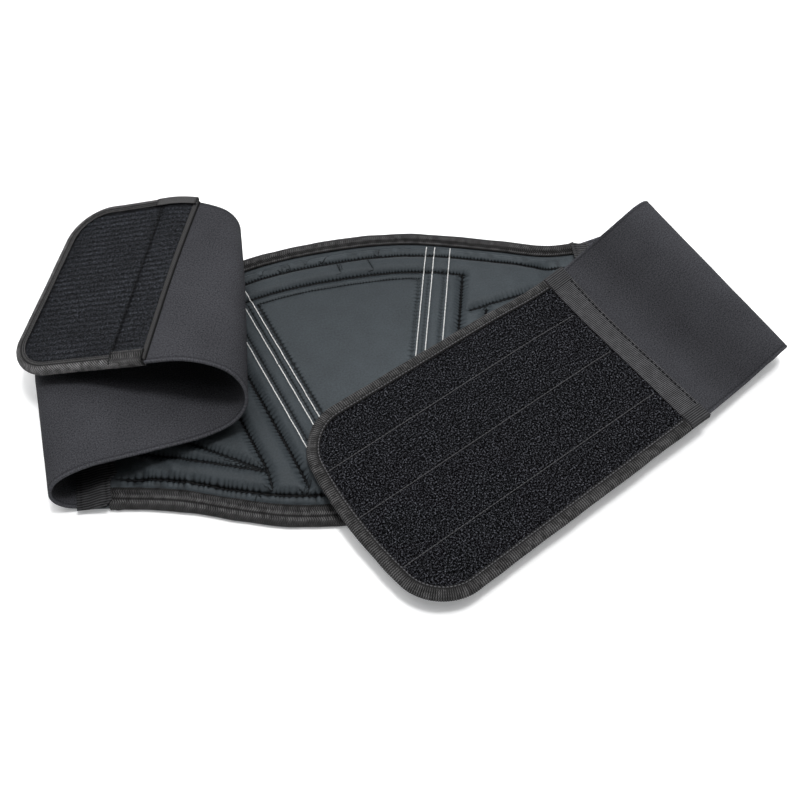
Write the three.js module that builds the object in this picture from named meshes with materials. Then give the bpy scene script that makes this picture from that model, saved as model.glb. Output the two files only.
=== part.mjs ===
// Kidney belt: a padded back panel lying inside face up, with both fastening wings folded over it.
// Millimetres and degrees. X runs along the belt, Y from the panel's lower edge to its arched upper edge,
// Z up. The origin is on the floor, on the panel's centre line, under its flat underside.

import * as THREE from 'three';

const { degToRad, lerp, smoothstep } = THREE.MathUtils;

// Clearance between pieces that touch on the real belt
const GAP = 0.3;

// Half of the panel's outline, binding included: place along X, upper edge, lower edge
const PANEL_OUTLINE = [
  { x: 0, top: 136, bottom: -83 },
  { x: 30, top: 135, bottom: -81.5 },
  { x: 60, top: 130.5, bottom: -76 },
  { x: 90, top: 121.5, bottom: -65.5 },
  { x: 120, top: 111, bottom: -53.5 },
  { x: 150, top: 100.5, bottom: -45.5 },
  { x: 180, top: 98.5, bottom: -40.5 },
];

// The panel's ends lean slightly inwards towards the upper edge
const END_HALF = 174.5;
const END_MIDDLE = 29.5;
const END_LEAN = degToRad(1);

// Padding: its height by distance from the bound edges and from the ends, and its pinched edge
const CROWN_PROFILE = [
  { inset: 13.3, height: 5.1 },
  { inset: 14.6, height: 8.2 },
  { inset: 20, height: 11.2 },
  { inset: 32, height: 12.6 },
  { inset: 60, height: 13.2 },
];
const END_PROFILE = [
  { inset: 0, height: 4.5 },
  { inset: 8, height: 6.5 },
  { inset: 26, height: 6.6 },
  { inset: 38, height: 10.5 },
  { inset: 60, height: 13.2 },
];
const EDGE_LOW = 1.5;
const EDGE_HIGH = 5.1;
const EDGE_INSET = 1.6;
const EDGE_CHAMFER = 0.9;
const LAND_INSET = 13.3;

// Sewn lines that pull the padding down. Fan lines run at |x| = foot + FAN_SLOPE * y.
const FAN_SLOPE = 0.302;
const EDGE_SEAMS = [
  { edge: 'top', inset: 24, reach: 175, depth: 4, width: 7.5 },
  { edge: 'top', inset: 38.6, reach: 86, depth: 3.4, width: 6.5 },
  { edge: 'bottom', inset: 16.6, reach: 175, depth: 3.6, width: 6 },
];
const FAN_SEAMS = [
  { foot: 32.3, low: -70, high: 118, depth: 1.2, width: 4 },
  { foot: 38.4, low: -70, high: 117, depth: 1.2, width: 4 },
  { foot: 49.7, low: -68, high: 114, depth: 1.6, width: 5 },
  { foot: 60.2, low: -52, high: 85, depth: 4, width: 7 },
  { foot: 78.5, low: -38, high: 50, depth: 3.4, width: 7 },
];
const WEDGE_SEAMS = [
  { fromX: 67, fromY: -40, toX: 160, toY: 22, depth: 3.2, width: 7 },
  { fromX: 67, fromY: -40, toX: 165, toY: -2, depth: 3.2, width: 7 },
  { fromX: 84, fromY: 50, toX: 160, toY: 71, depth: 3.2, width: 7 },
];
const SEAM_SHARPNESS = 1.5;
const SEAM_FADE_FROM = 18;
const SEAM_FADE_TO = 34;

// Where the panel's surface is divided: feet of its columns, and rows by distance from each edge
const COLUMN_FEET = [10, 20, 28, 32.3, 35.3, 38.4, 44, 49.7, 55, 60.2, 66, 72, 78.5];
const FAN_FULL_FROM = 32.3;
const FAN_FULL_TO = 60;
const SIDE_COLUMNS = 14;
const TOP_ROWS = [14.6, 17.5, 21, 24, 27, 31, 35.3, 38.6, 42, 47];
const BOTTOM_ROWS = [14.6, 16.6, 20, 25];
const MIDDLE_ROWS = 14;
const FLOOR_SETBACK = 2;
const FLOOR_END_INSET = 1;
const SOLVE_ROUNDS = 6;

// Binding folded round the panel's long edges: section by distance from the edge, and height
const PANEL_BINDING = [
  { inset: 13, height: 6.6 },
  { inset: 2.4, height: 6.6 },
  { inset: 0, height: 4.6 },
  { inset: 0, height: 2 },
  { inset: 2, height: 0 },
  { inset: 13, height: 0 },
  { inset: 13, height: 1.2 },
  { inset: 2.4, height: 1.2 },
  { inset: 1.3, height: 2.2 },
  { inset: 1.3, height: 4.4 },
  { inset: 2.8, height: 5.4 },
  { inset: 13, height: 5.4 },
];
const PANEL_BINDING_STEPS = 40;
const BINDING_END = 10.5;

// Ribbed tape over each join of panel and wing: underside by distance inwards from the panel's end
const JOINT_TAPE = [
  { inset: -7, height: 4.8 },
  { inset: 0, height: 4.8 },
  { inset: 8, height: 6.9 },
  { inset: 14, height: 6.95 },
  { inset: 20, height: 7 },
];
const JOINT_TAPE_THICK = 1;
const JOINT_TAPE_STEPS = 6;

// Wings: a flat sheet bent along straight lines. Each fold row is a length along the centre line, the
// angle that it turns through, and how far its bend lines lean from square at its start and end.
const SHEET = 2;
const WING_HALF = 68.5;
const LEFT_WING = {
  origin: new THREE.Vector3(-176, 30.5, 3.5),
  heading: 176,
  folds: [
    { name: 'lower run', length: 11.3, turn: 0, leanIn: 0, leanOut: 0, steps: 0 },
    { name: 'first bend', length: 35, turn: 159.5, leanIn: 10, leanOut: 5, steps: 14 },
    { name: 'ease', length: 44, turn: 31, leanIn: 5, leanOut: 20, steps: 6 },
    { name: 'middle run', length: 49.8, turn: 0, leanIn: 0, leanOut: 0, steps: 0 },
    { name: 'lift', length: 23, turn: -25, leanIn: 20, leanOut: 18, steps: 5 },
    { name: 'second bend', length: 49, turn: -144, leanIn: 18, leanOut: 12, steps: 14 },
    { name: 'crest', length: 35, turn: -38, leanIn: 12, leanOut: 14.5, steps: 8 },
  ],
};
const RIGHT_WING = {
  origin: new THREE.Vector3(177, 30, 3.5),
  heading: 11.5,
  folds: [
    { name: 'lower run', length: 58, turn: 0, leanIn: 0, leanOut: 0, steps: 0 },
    { name: 'fold', length: 49, turn: 192.5, leanIn: 15, leanOut: 2.5, steps: 16 },
    { name: 'upper run', length: 44, turn: 0, leanIn: 0, leanOut: 0, steps: 0 },
    { name: 'settle', length: 28, turn: -18.5, leanIn: -24, leanOut: -24, steps: 6 },
    { name: 'join', length: 16, turn: 0, leanIn: 0, leanOut: 0, steps: 0 },
    { name: 'level', length: 28, turn: 5.5, leanIn: -19, leanOut: -19, steps: 6 },
  ],
};

// Hook patch and binding on the left wing's tip, measured along the flat wing
const HOOK_TIP = { from: 243.6, to: 337.6, half: 69.8, flare: 0, radius: 28, slant: 0.07, bow: 0 };
const HOOK_PATCH_LIFT = 0.5;
const HOOK_PATCH_THICK = 1.2;
const HOOK_PATCH_ROWS = 16;
const HOOK_PATCH_COLUMNS = 8;
const HOOK_PATCH_CROWDING = 1.3;
const HOOK_BINDING_WIDTH = 7;
const HOOK_PATH = { edgeSteps: 12, cornerSteps: 6, endSteps: 7 };
const WING_LEFT_CORNER_STEPS = 5;

// Loop panel on the right wing's end, measured from the tape over its join; it is sewn on slightly askew
const LOOP_JOIN = 173;
const LOOP_SKEW = degToRad(4.7);
const LOOP_TIP = { from: 15.6, to: 215, half: 70.6, flare: 4, radius: 30, slant: 0, bow: 7.5 };
const LOOP_THICK = 2.4;
const LOOP_ROWS = 18;
const LOOP_COLUMNS = 8;
const LOOP_BINDING_WIDTH = 8;
const LOOP_BINDING_CLEAR = 0.5;
const LOOP_PATH = { edgeSteps: 14, cornerSteps: 6, endSteps: 9 };
const LOOP_TAPE_WIDTH = 15.2;
const LOOP_TAPE_HALF = 70.4;
const LOOP_TAPE_LIFT = 1.5;
const LOOP_TAPE_THICK = 1;
const LOOP_TAPE_ROWS = 3;
const LOOP_TAPE_COLUMNS = 10;
const WING_RIGHT_COLUMNS = 8;
const WING_RIGHT_ROWS = 9;

// Bindings round both tips
const BINDING_THICK = 1;
const BINDING_SOFT = 0.6;
const PATH_CROWDING = 1.4;

const FINISH = {
  panel: new THREE.MeshStandardMaterial({ color: 0x3e4448, roughness: 0.55, metalness: 0 }),
  wing: new THREE.MeshStandardMaterial({ color: 0x3a3a3d, roughness: 0.92, metalness: 0 }),
  binding: new THREE.MeshStandardMaterial({ color: 0x262628, roughness: 0.85, metalness: 0 }),
  tape: new THREE.MeshStandardMaterial({ color: 0x2b2b2d, roughness: 0.9, metalness: 0 }),
  loop: new THREE.MeshStandardMaterial({ color: 0x17181a, roughness: 1, metalness: 0 }),
  hook: new THREE.MeshStandardMaterial({ color: 0x141518, roughness: 0.7, metalness: 0 }),
};

// Closed bodies

// Six times the volume inside a triangle list, negative when its faces point inwards
function signedVolume(points, faces) {
  let sum = 0;
  for (const [a, b, c] of faces) {
    sum += points[a].dot(new THREE.Vector3().crossVectors(points[b], points[c]));
  }
  return sum;
}

function closedMesh(name, points, faces, material) {
  const outward = signedVolume(points, faces) > 0;
  const index = faces.flatMap(([a, b, c]) => (outward ? [a, b, c] : [a, c, b]));
  const geometry = new THREE.BufferGeometry().setFromPoints(points);
  geometry.setIndex(index);
  geometry.computeVertexNormals();
  const mesh = new THREE.Mesh(geometry, material);
  mesh.name = name;
  return mesh;
}

// Two triangles on each cell between neighbouring rows of vertex numbers
function gridFaces(rows) {
  const faces = [];
  for (let i = 0; i + 1 < rows.length; i += 1) {
    for (let j = 0; j + 1 < rows[i].length; j += 1) {
      const [a, b] = [rows[i][j], rows[i][j + 1]];
      const [d, c] = [rows[i + 1][j], rows[i + 1][j + 1]];
      faces.push([a, b, c], [a, c, d]);
    }
  }
  return faces;
}

// Triangles between two edges of different division, walked side by side along Y
function zipFaces(points, one, two) {
  const faces = [];
  let [i, j] = [0, 0];
  while (i + 1 < one.length || j + 1 < two.length) {
    const nextOne = i + 1 < one.length ? points[one[i + 1]].y : -Infinity;
    const nextTwo = j + 1 < two.length ? points[two[j + 1]].y : -Infinity;
    if (nextOne >= nextTwo) {
      faces.push([one[i], one[i + 1], two[j]]);
      i += 1;
    } else {
      faces.push([one[i], two[j + 1], two[j]]);
      j += 1;
    }
  }
  return faces;
}

const column = (rows, j) => rows.map((row) => row[j]);

// A slab between an upper and a lower grid of points with the same division
function slab(name, upper, lower, material) {
  const points = [];
  const number = (rows) => rows.map((row) => row.map((point) => points.push(point) - 1));
  const [high, low] = [number(upper), number(lower)];
  const last = high.length - 1;
  const end = high[0].length - 1;
  const faces = [
    ...gridFaces(high),
    ...gridFaces([...low].reverse()),
    ...gridFaces([low[0], high[0]]),
    ...gridFaces([high[last], low[last]]),
    ...gridFaces([column(high, 0), column(low, 0)]),
    ...gridFaces([column(low, end), column(high, end)]),
  ];
  return closedMesh(name, points, faces, material);
}

// A section of constant shape carried along a path, closed by flat ends
function swept(name, rings, section, material) {
  const points = rings.flat();
  const count = section.length;
  const faces = [];
  for (let i = 0; i + 1 < rings.length; i += 1) {
    for (let j = 0; j < count; j += 1) {
      const k = (j + 1) % count;
      const [a, b] = [i * count + j, i * count + k];
      faces.push([a, b, b + count], [a, b + count, a + count]);
    }
  }
  const outline = section.map(([across, up]) => new THREE.Vector2(across, up));
  const turn = Math.sign(THREE.ShapeUtils.area(outline));
  const shift = (rings.length - 1) * count;
  for (const cap of THREE.ShapeUtils.triangulateShape(outline, [])) {
    const agrees = Math.sign(THREE.ShapeUtils.area(cap.map((at) => outline[at]))) === turn;
    const [a, b, c] = agrees ? cap : [...cap].reverse();
    faces.push([a, c, b], [a + shift, b + shift, c + shift]);
  }
  return closedMesh(name, points, faces, material);
}

// Back panel

// Straight-line value of a profile table at an inset
function profileAt(table, inset) {
  const next = table.findIndex((row) => row.inset >= inset);
  if (next === 0) return table[0].height;
  if (next < 0) return table[table.length - 1].height;
  const [a, b] = [table[next - 1], table[next]];
  return lerp(a.height, b.height, (inset - a.inset) / (b.inset - a.inset));
}

// Smooth value of the outline's upper or lower edge at a place along X
function edgeAt(x, edge) {
  const at = Math.min(Math.abs(x), PANEL_OUTLINE[PANEL_OUTLINE.length - 1].x);
  const step = PANEL_OUTLINE[1].x - PANEL_OUTLINE[0].x;
  const i = Math.min(Math.floor(at / step), PANEL_OUTLINE.length - 2);
  const value = (k) => PANEL_OUTLINE[Math.min(Math.abs(k), PANEL_OUTLINE.length - 1)][edge];
  const [a, b, c, d] = [value(i - 1), value(i), value(i + 1), value(i + 2)];
  const u = at / step - i;
  const curve = 2 * a - 5 * b + 4 * c - d + u * (3 * (b - c) + d - a);
  return b + 0.5 * u * (c - a + u * curve);
}

const endX = (y) => END_HALF - Math.tan(END_LEAN) * (y - END_MIDDLE);
const endInset = (x, y) => (endX(y) - Math.abs(x)) * Math.cos(END_LEAN);

function segmentDistance(x, y, seam) {
  const [dx, dy] = [seam.toX - seam.fromX, seam.toY - seam.fromY];
  const along = ((x - seam.fromX) * dx + (y - seam.fromY) * dy) / (dx * dx + dy * dy);
  const at = THREE.MathUtils.clamp(along, 0, 1);
  return Math.hypot(x - seam.fromX - at * dx, y - seam.fromY - at * dy);
}

const fanSegment = (seam) => ({
  fromX: seam.foot + FAN_SLOPE * seam.low,
  fromY: seam.low,
  toX: seam.foot + FAN_SLOPE * seam.high,
  toY: seam.high,
  depth: seam.depth,
  width: seam.width,
});
const LINE_SEAMS = [...FAN_SEAMS.map(fanSegment), ...WEDGE_SEAMS];

// How far the sewn lines pull the padding down at a point
function seamDip(x, y) {
  const at = Math.abs(x);
  const dip = (distance, seam) => seam.depth * Math.max(0, 1 - distance / seam.width) ** SEAM_SHARPNESS;
  const inset = { top: edgeAt(x, 'top') - y, bottom: y - edgeAt(x, 'bottom') };
  const dips = [
    ...EDGE_SEAMS.filter((seam) => at < seam.reach)
      .map((seam) => dip(Math.abs(inset[seam.edge] - seam.inset), seam)),
    ...LINE_SEAMS.map((seam) => dip(segmentDistance(at, y, seam), seam)),
  ];
  return Math.max(...dips) * smoothstep(endInset(x, y), SEAM_FADE_FROM, SEAM_FADE_TO);
}

function panelTop(x, y) {
  const inset = Math.min(edgeAt(x, 'top') - y, y - edgeAt(x, 'bottom'));
  const padding = Math.min(profileAt(CROWN_PROFILE, inset), profileAt(END_PROFILE, endInset(x, y)));
  return inset <= LAND_INSET ? padding : Math.max(padding - seamDip(x, y), Math.min(padding, EDGE_HIGH));
}

// Columns fan out beside the middle and end parallel to the panel's ends
function columnFeet() {
  const last = END_HALF + Math.tan(END_LEAN) * END_MIDDLE;
  const from = COLUMN_FEET[COLUMN_FEET.length - 1];
  const side = Array.from({ length: SIDE_COLUMNS }, (_, i) => lerp(from, last, (i + 1) / SIDE_COLUMNS));
  const half = [...COLUMN_FEET, ...side];
  return [...half.map((foot) => -foot).reverse(), 0, ...half];
}

function columnX(foot, y) {
  const last = END_HALF + Math.tan(END_LEAN) * END_MIDDLE;
  const at = Math.abs(foot);
  const inner = FAN_SLOPE * Math.min(1, at / FAN_FULL_FROM);
  const outer = lerp(FAN_SLOPE, -Math.tan(END_LEAN), (at - FAN_FULL_TO) / (last - FAN_FULL_TO));
  return Math.sign(foot) * (at + y * Math.min(inner, outer));
}

const fromTop = (inset) => (x) => edgeAt(x, 'top') - inset;
const fromBottom = (inset) => (x) => edgeAt(x, 'bottom') + inset;

// The place where a column meets a row, found by a few rounds because each depends on the other
function crossing(foot, row) {
  let y = row(foot);
  for (let round = 0; round < SOLVE_ROUNDS; round += 1) y = row(columnX(foot, y));
  return { x: columnX(foot, y), y };
}

function backPanel() {
  const edge = [EDGE_INSET, EDGE_INSET + EDGE_CHAMFER, LAND_INSET];
  const top = [...edge, ...TOP_ROWS];
  const bottom = [...edge, ...BOTTOM_ROWS];
  const inner = Array.from({ length: MIDDLE_ROWS }, (_, i) => (i + 1) / (MIDDLE_ROWS + 1));
  const between = (share) => (x) =>
    lerp(fromTop(top[top.length - 1])(x), fromBottom(bottom[bottom.length - 1])(x), share);
  const upperRows = [...top.map(fromTop), ...inner.map(between), ...bottom.map(fromBottom).reverse()];
  const foot = [...edge, LAND_INSET + FLOOR_SETBACK];
  const lowerRows = [...foot.map(fromTop), ...foot.map(fromBottom).reverse()];
  const feet = columnFeet();
  const points = [];
  const rimmed = (k, count) => k === 0 || k === count - 1;
  const upper = upperRows.map((row, k) => feet.map((at) => {
    const { x, y } = crossing(at, row);
    const z = panelTop(x, y) - (rimmed(k, upperRows.length) ? EDGE_CHAMFER : 0);
    return points.push(new THREE.Vector3(x, y, z)) - 1;
  }));
  const lower = lowerRows.map((row, k) => feet.map((at) => {
    const { x, y } = crossing(at, row);
    const inside = k >= edge.length && k < lowerRows.length - edge.length;
    const onFloor = inside && endInset(x, y) > FLOOR_END_INSET;
    const z = onFloor ? 0 : EDGE_LOW + (rimmed(k, lowerRows.length) ? EDGE_CHAMFER : 0);
    return points.push(new THREE.Vector3(x, y, z)) - 1;
  }));
  const [high, low] = [upper.length - 1, lower.length - 1];
  const end = feet.length - 1;
  const flip = (faces) => faces.map(([a, b, c]) => [a, c, b]);
  const faces = [
    ...gridFaces(upper),
    ...flip(gridFaces(lower)),
    ...gridFaces([lower[0], upper[0]]),
    ...gridFaces([upper[high], lower[low]]),
    ...zipFaces(points, column(upper, 0), column(lower, 0)),
    ...flip(zipFaces(points, column(upper, end), column(lower, end))),
  ];
  return closedMesh('back_panel', points, faces, FINISH.panel);
}

function panelBinding(name, edge) {
  const inward = edge === 'top' ? -1 : 1;
  const end = [-1, 1].map((side) => {
    let x = END_HALF;
    for (let round = 0; round < SOLVE_ROUNDS; round += 1) {
      x = endX(edgeAt(x, edge)) - BINDING_END / Math.cos(END_LEAN);
    }
    return side * x;
  });
  const rings = Array.from({ length: PANEL_BINDING_STEPS + 1 }, (_, i) => {
    const x = lerp(end[0], end[1], i / PANEL_BINDING_STEPS);
    return PANEL_BINDING.map(({ inset, height }) =>
      new THREE.Vector3(x, edgeAt(x, edge) + inward * inset, height));
  });
  return swept(name, rings, PANEL_BINDING.map(({ inset, height }) => [inset, height]), FINISH.binding);
}

function jointTape(name, side) {
  const rows = (lift) => Array.from({ length: JOINT_TAPE_STEPS + 1 }, (_, i) =>
    JOINT_TAPE.map(({ inset, height }) => {
      const reach = END_HALF - inset / Math.cos(END_LEAN);
      const y = lerp(edgeAt(reach, 'bottom'), edgeAt(reach, 'top'), i / JOINT_TAPE_STEPS);
      const x = endX(y) - inset / Math.cos(END_LEAN);
      return new THREE.Vector3(side * x, y, height + lift);
    }));
  return slab(name, rows(JOINT_TAPE_THICK), rows(0), FINISH.tape);
}

// Wings

// A flat strip carried through its folds. Flat places are s along the centre line and t across it.
class FoldedStrip {
  constructor({ origin, heading, folds }) {
    const angle = degToRad(heading);
    const along = new THREE.Vector3(Math.cos(angle), Math.sin(angle), 0);
    const across = new THREE.Vector3(-Math.sin(angle), Math.cos(angle), 0);
    this.bends = [];
    this.facets = [{ origin: origin.clone(), along, across, s: 0 }];
    let s = 0;
    for (const { length, turn, leanIn, leanOut, steps } of folds) {
      for (let k = 0; k < steps; k += 1) {
        const share = (k + 0.5) / steps;
        this.bend(s + length * share, degToRad(lerp(leanIn, leanOut, share)), degToRad(turn / steps));
      }
      s += length;
    }
  }

  // Adds a bend line at s on the centre line and the facet that follows it
  bend(s, lean, turn) {
    const from = this.facets[this.facets.length - 1];
    const line = from.across.clone()
      .multiplyScalar(Math.cos(lean))
      .addScaledVector(from.along, -Math.sin(lean));
    this.bends.push({ s, slope: Math.tan(lean) });
    this.facets.push({
      origin: from.origin.clone().addScaledVector(from.along, s - from.s),
      along: from.along.clone().applyAxisAngle(line, -turn),
      across: from.across.clone().applyAxisAngle(line, -turn),
      s,
    });
  }

  normal(i) {
    return new THREE.Vector3().crossVectors(this.facets[i].along, this.facets[i].across);
  }

  // Place of bend line i at t
  bendAt(i, t) {
    return this.bends[i].s - t * this.bends[i].slope;
  }

  // The point at flat place (s, t), lifted off the sheet's middle by h
  point(s, t, h) {
    let i = 0;
    while (i < this.bends.length && s > this.bendAt(i, t)) i += 1;
    const facet = this.facets[i];
    const before = i > 0 ? this.bendAt(i - 1, t) : -Infinity;
    const after = i < this.bends.length ? this.bendAt(i, t) : Infinity;
    const normal = this.normal(i);
    if (i > 0 && i < this.bends.length) {
      const share = (s - before) / (after - before);
      const start = this.normal(i - 1).add(normal).normalize();
      const finish = this.normal(i + 1).add(normal).normalize();
      normal.copy(start.lerp(finish, share)).normalize();
    } else if (i > 0 && s - before < SHEET) {
      normal.lerp(this.normal(i - 1).add(normal).normalize(), 1 - (s - before) / SHEET).normalize();
    } else if (i < this.bends.length && after - s < SHEET) {
      normal.lerp(this.normal(i + 1).add(normal).normalize(), 1 - (after - s) / SHEET).normalize();
    }
    return facet.origin.clone()
      .addScaledVector(facet.along, s - facet.s)
      .addScaledVector(facet.across, t)
      .addScaledVector(normal, h);
  }

  // Flat place s where the strip starts, just clear of the panel's leaning end
  startAt(t) {
    const { origin, along, across } = this.facets[0];
    const side = Math.sign(along.x);
    const tilt = Math.tan(END_LEAN);
    const x = side * (origin.x + across.x * t);
    const y = origin.y + across.y * t - END_MIDDLE;
    return (END_HALF + GAP - x - tilt * y) / (side * along.x + tilt * along.y);
  }
}

const leftWing = new FoldedStrip(LEFT_WING);
const rightWing = new FoldedStrip(RIGHT_WING);

// Half width of a rounded tip at a place along it, before its slant and bow
function tipHalf(tip, at) {
  const flat = tip.half + tip.flare * (at - tip.from) / (tip.to - tip.from);
  const past = Math.max(0, at - (tip.to - tip.radius));
  return flat - tip.radius + Math.sqrt(Math.max(0, tip.radius ** 2 - past ** 2));
}

// Flat place of a tip's point after its slant and bow
function tipPlace(tip, at, t) {
  const share = (at - tip.from) / (tip.to - tip.from);
  return [at + tip.slant * t * share + tip.bow * (1 - (t / tip.half) ** 2) * share ** 3, t];
}

const shrunk = (tip, by) => ({ ...tip, to: tip.to - by, half: tip.half - by, radius: tip.radius - by });

// The open path round a tip: along one edge, round its end and back along the other
function tipPath(tip, { edgeSteps, cornerSteps, endSteps }) {
  const corner = tip.to - tip.radius;
  const edge = Array.from({ length: edgeSteps }, (_, i) => {
    const at = lerp(tip.from, corner, (i / edgeSteps) ** PATH_CROWDING);
    return [at, tipHalf(tip, at)];
  });
  const middle = tip.half + tip.flare - tip.radius;
  const round = Array.from({ length: cornerSteps + 1 }, (_, i) => {
    const angle = (Math.PI / 2) * (i / cornerSteps);
    return [corner + tip.radius * Math.sin(angle), middle + tip.radius * Math.cos(angle)];
  });
  const end = Array.from({ length: endSteps - 1 }, (_, i) => {
    const share = (i + 1) / endSteps;
    return [tip.to, lerp(middle, -middle, share)];
  });
  const half = [...edge, ...round];
  const back = half.map(([at, t]) => [at, -t]).reverse();
  return [...half, ...end, ...back].map(([at, t]) => tipPlace(tip, at, t));
}

// Rings of a folded binding round a tip; place(flat, lift) gives the solid point
function bindingRings(path, section, place) {
  return path.map(([s, t], i) => {
    const before = path[Math.max(0, i - 1)];
    const after = path[Math.min(path.length - 1, i + 1)];
    const run = new THREE.Vector2(after[0] - before[0], after[1] - before[1]).normalize();
    return section.map(([out, lift]) => place(s - run.y * out, t + run.x * out, lift));
  });
}

// U section of a binding: distance out from the outline, and height off the sheet's middle
function bindingSection(width, low, high) {
  const [under, over] = [low - BINDING_THICK, high + BINDING_THICK];
  return [
    [-width, over],
    [-BINDING_SOFT, over],
    [0, over - BINDING_SOFT],
    [0, under + BINDING_SOFT],
    [-BINDING_SOFT, under],
    [-width, under],
    [-width, low],
    [-BINDING_THICK, low],
    [-BINDING_THICK, high],
    [-width, high],
  ];
}

const rowOf = (count, make) => Array.from({ length: count + 1 }, (_, i) => make(i / count));

function wingLeft() {
  const tip = shrunk(HOOK_TIP, BINDING_THICK + GAP);
  const start = [leftWing.startAt(WING_HALF), leftWing.startAt(-WING_HALF)];
  const bends = leftWing.bends.map((_, i) => [leftWing.bendAt(i, WING_HALF), leftWing.bendAt(i, -WING_HALF)]);
  const body = [start, ...bends].map(([near, far]) => [[near, WING_HALF], [far, -WING_HALF]]);
  const corner = rowOf(WING_LEFT_CORNER_STEPS, (share) => {
    const at = tip.to - tip.radius + tip.radius * Math.sin((Math.PI / 2) * share);
    const half = tipHalf(tip, at);
    return [tipPlace(tip, at, half), tipPlace(tip, at, -half)];
  });
  const rows = (h) => [...body, ...corner].map((row) => row.map(([s, t]) => leftWing.point(s, t, h)));
  return slab('wing_left', rows(SHEET / 2), rows(-SHEET / 2), FINISH.wing);
}

function hookPatch() {
  const tip = shrunk(HOOK_TIP, BINDING_THICK + GAP);
  const low = SHEET / 2 + HOOK_PATCH_LIFT;
  const rows = (h) => rowOf(HOOK_PATCH_ROWS, (along) => {
    const at = tip.to - (tip.to - tip.from) * (1 - along) ** HOOK_PATCH_CROWDING;
    const half = tipHalf(tip, at);
    return rowOf(HOOK_PATCH_COLUMNS, (across) => {
      const [s, t] = tipPlace(tip, at, lerp(half, -half, across));
      return leftWing.point(s, t, h);
    });
  });
  return slab('hook_patch', rows(low + HOOK_PATCH_THICK), rows(low), FINISH.hook);
}

function hookBinding() {
  const high = SHEET / 2 + HOOK_PATCH_LIFT + HOOK_PATCH_THICK + GAP;
  const section = bindingSection(HOOK_BINDING_WIDTH, -SHEET / 2 - GAP, high);
  const rings = bindingRings(tipPath(HOOK_TIP, HOOK_PATH), section, (s, t, h) => leftWing.point(s, t, h));
  return swept('hook_binding', rings, section, FINISH.binding);
}

// Flat place on the right wing of a place on the askew loop panel
const loopPlace = (along, across) => [
  LOOP_JOIN + along * Math.cos(LOOP_SKEW) - across * Math.sin(LOOP_SKEW),
  along * Math.sin(LOOP_SKEW) + across * Math.cos(LOOP_SKEW),
];

// The fold turns the right wing over, so that up from its end is against the sheet's normal
const loopPoint = (along, across, lift) => rightWing.point(...loopPlace(along, across), -lift);

function wingRight() {
  const edges = [-WING_HALF, WING_HALF];
  const foldCount = RIGHT_WING.folds[1].steps;
  const start = edges.map((t) => rightWing.startAt(t));
  const bends = Array.from({ length: foldCount }, (_, i) => edges.map((t) => rightWing.bendAt(i, t)));
  const meet = (LOOP_TAPE_WIDTH - GAP) / 2;
  const last = bends[foldCount - 1];
  const finish = edges.map((t) => loopPlace(meet, t)[0]);
  const after = rowOf(WING_RIGHT_ROWS, (share) => last.map((s, k) => lerp(s, finish[k], share))).slice(1);
  const rows = (h) => [start, ...bends, ...after].map(([near, far]) =>
    rowOf(WING_RIGHT_COLUMNS, (share) => rightWing.point(lerp(near, far, share), lerp(...edges, share), h)));
  return slab('wing_right', rows(SHEET / 2), rows(-SHEET / 2), FINISH.wing);
}

function loopPanel() {
  const tip = { ...shrunk(LOOP_TIP, BINDING_THICK + GAP), from: (LOOP_TAPE_WIDTH + GAP) / 2 };
  const rows = (h) => rowOf(LOOP_ROWS, (along) => {
    const at = lerp(tip.from, tip.to, (1 - Math.cos(Math.PI * along)) / 2);
    const half = tipHalf(tip, at);
    return rowOf(LOOP_COLUMNS, (across) => loopPoint(...tipPlace(tip, at, lerp(half, -half, across)), h));
  });
  return slab('loop_panel', rows(LOOP_THICK / 2), rows(-LOOP_THICK / 2), FINISH.loop);
}

function loopBinding() {
  const clear = LOOP_THICK / 2 + LOOP_BINDING_CLEAR;
  const section = bindingSection(LOOP_BINDING_WIDTH, -clear, clear);
  const rings = bindingRings(tipPath(LOOP_TIP, LOOP_PATH), section, loopPoint);
  return swept('loop_binding', rings, section, FINISH.binding);
}

function loopJointTape() {
  const rows = (h) => rowOf(LOOP_TAPE_ROWS, (along) => rowOf(LOOP_TAPE_COLUMNS, (across) =>
    loopPoint(along * LOOP_TAPE_WIDTH, lerp(-LOOP_TAPE_HALF, LOOP_TAPE_HALF, across), h)));
  return slab('loop_joint_tape', rows(LOOP_TAPE_LIFT + LOOP_TAPE_THICK), rows(LOOP_TAPE_LIFT), FINISH.tape);
}

const belt = new THREE.Group();
belt.name = 'kidney_belt';
belt.add(
  backPanel(),
  panelBinding('panel_binding_top', 'top'),
  panelBinding('panel_binding_bottom', 'bottom'),
  jointTape('joint_tape_left', -1),
  jointTape('joint_tape_right', 1),
  wingLeft(),
  hookPatch(),
  hookBinding(),
  wingRight(),
  loopPanel(),
  loopBinding(),
  loopJointTape(),
);

export default belt;
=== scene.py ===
"""Kidney belt: its cloth, padding, tapes and threads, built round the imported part.

Sizes are in millimetres until a mesh is made, and the meshes are in metres, in the part's own frame.
"""

import logging
import math
from dataclasses import dataclass, field, replace
from enum import Enum
from typing import Any, Callable, NamedTuple, Optional, Sequence, Union

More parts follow.
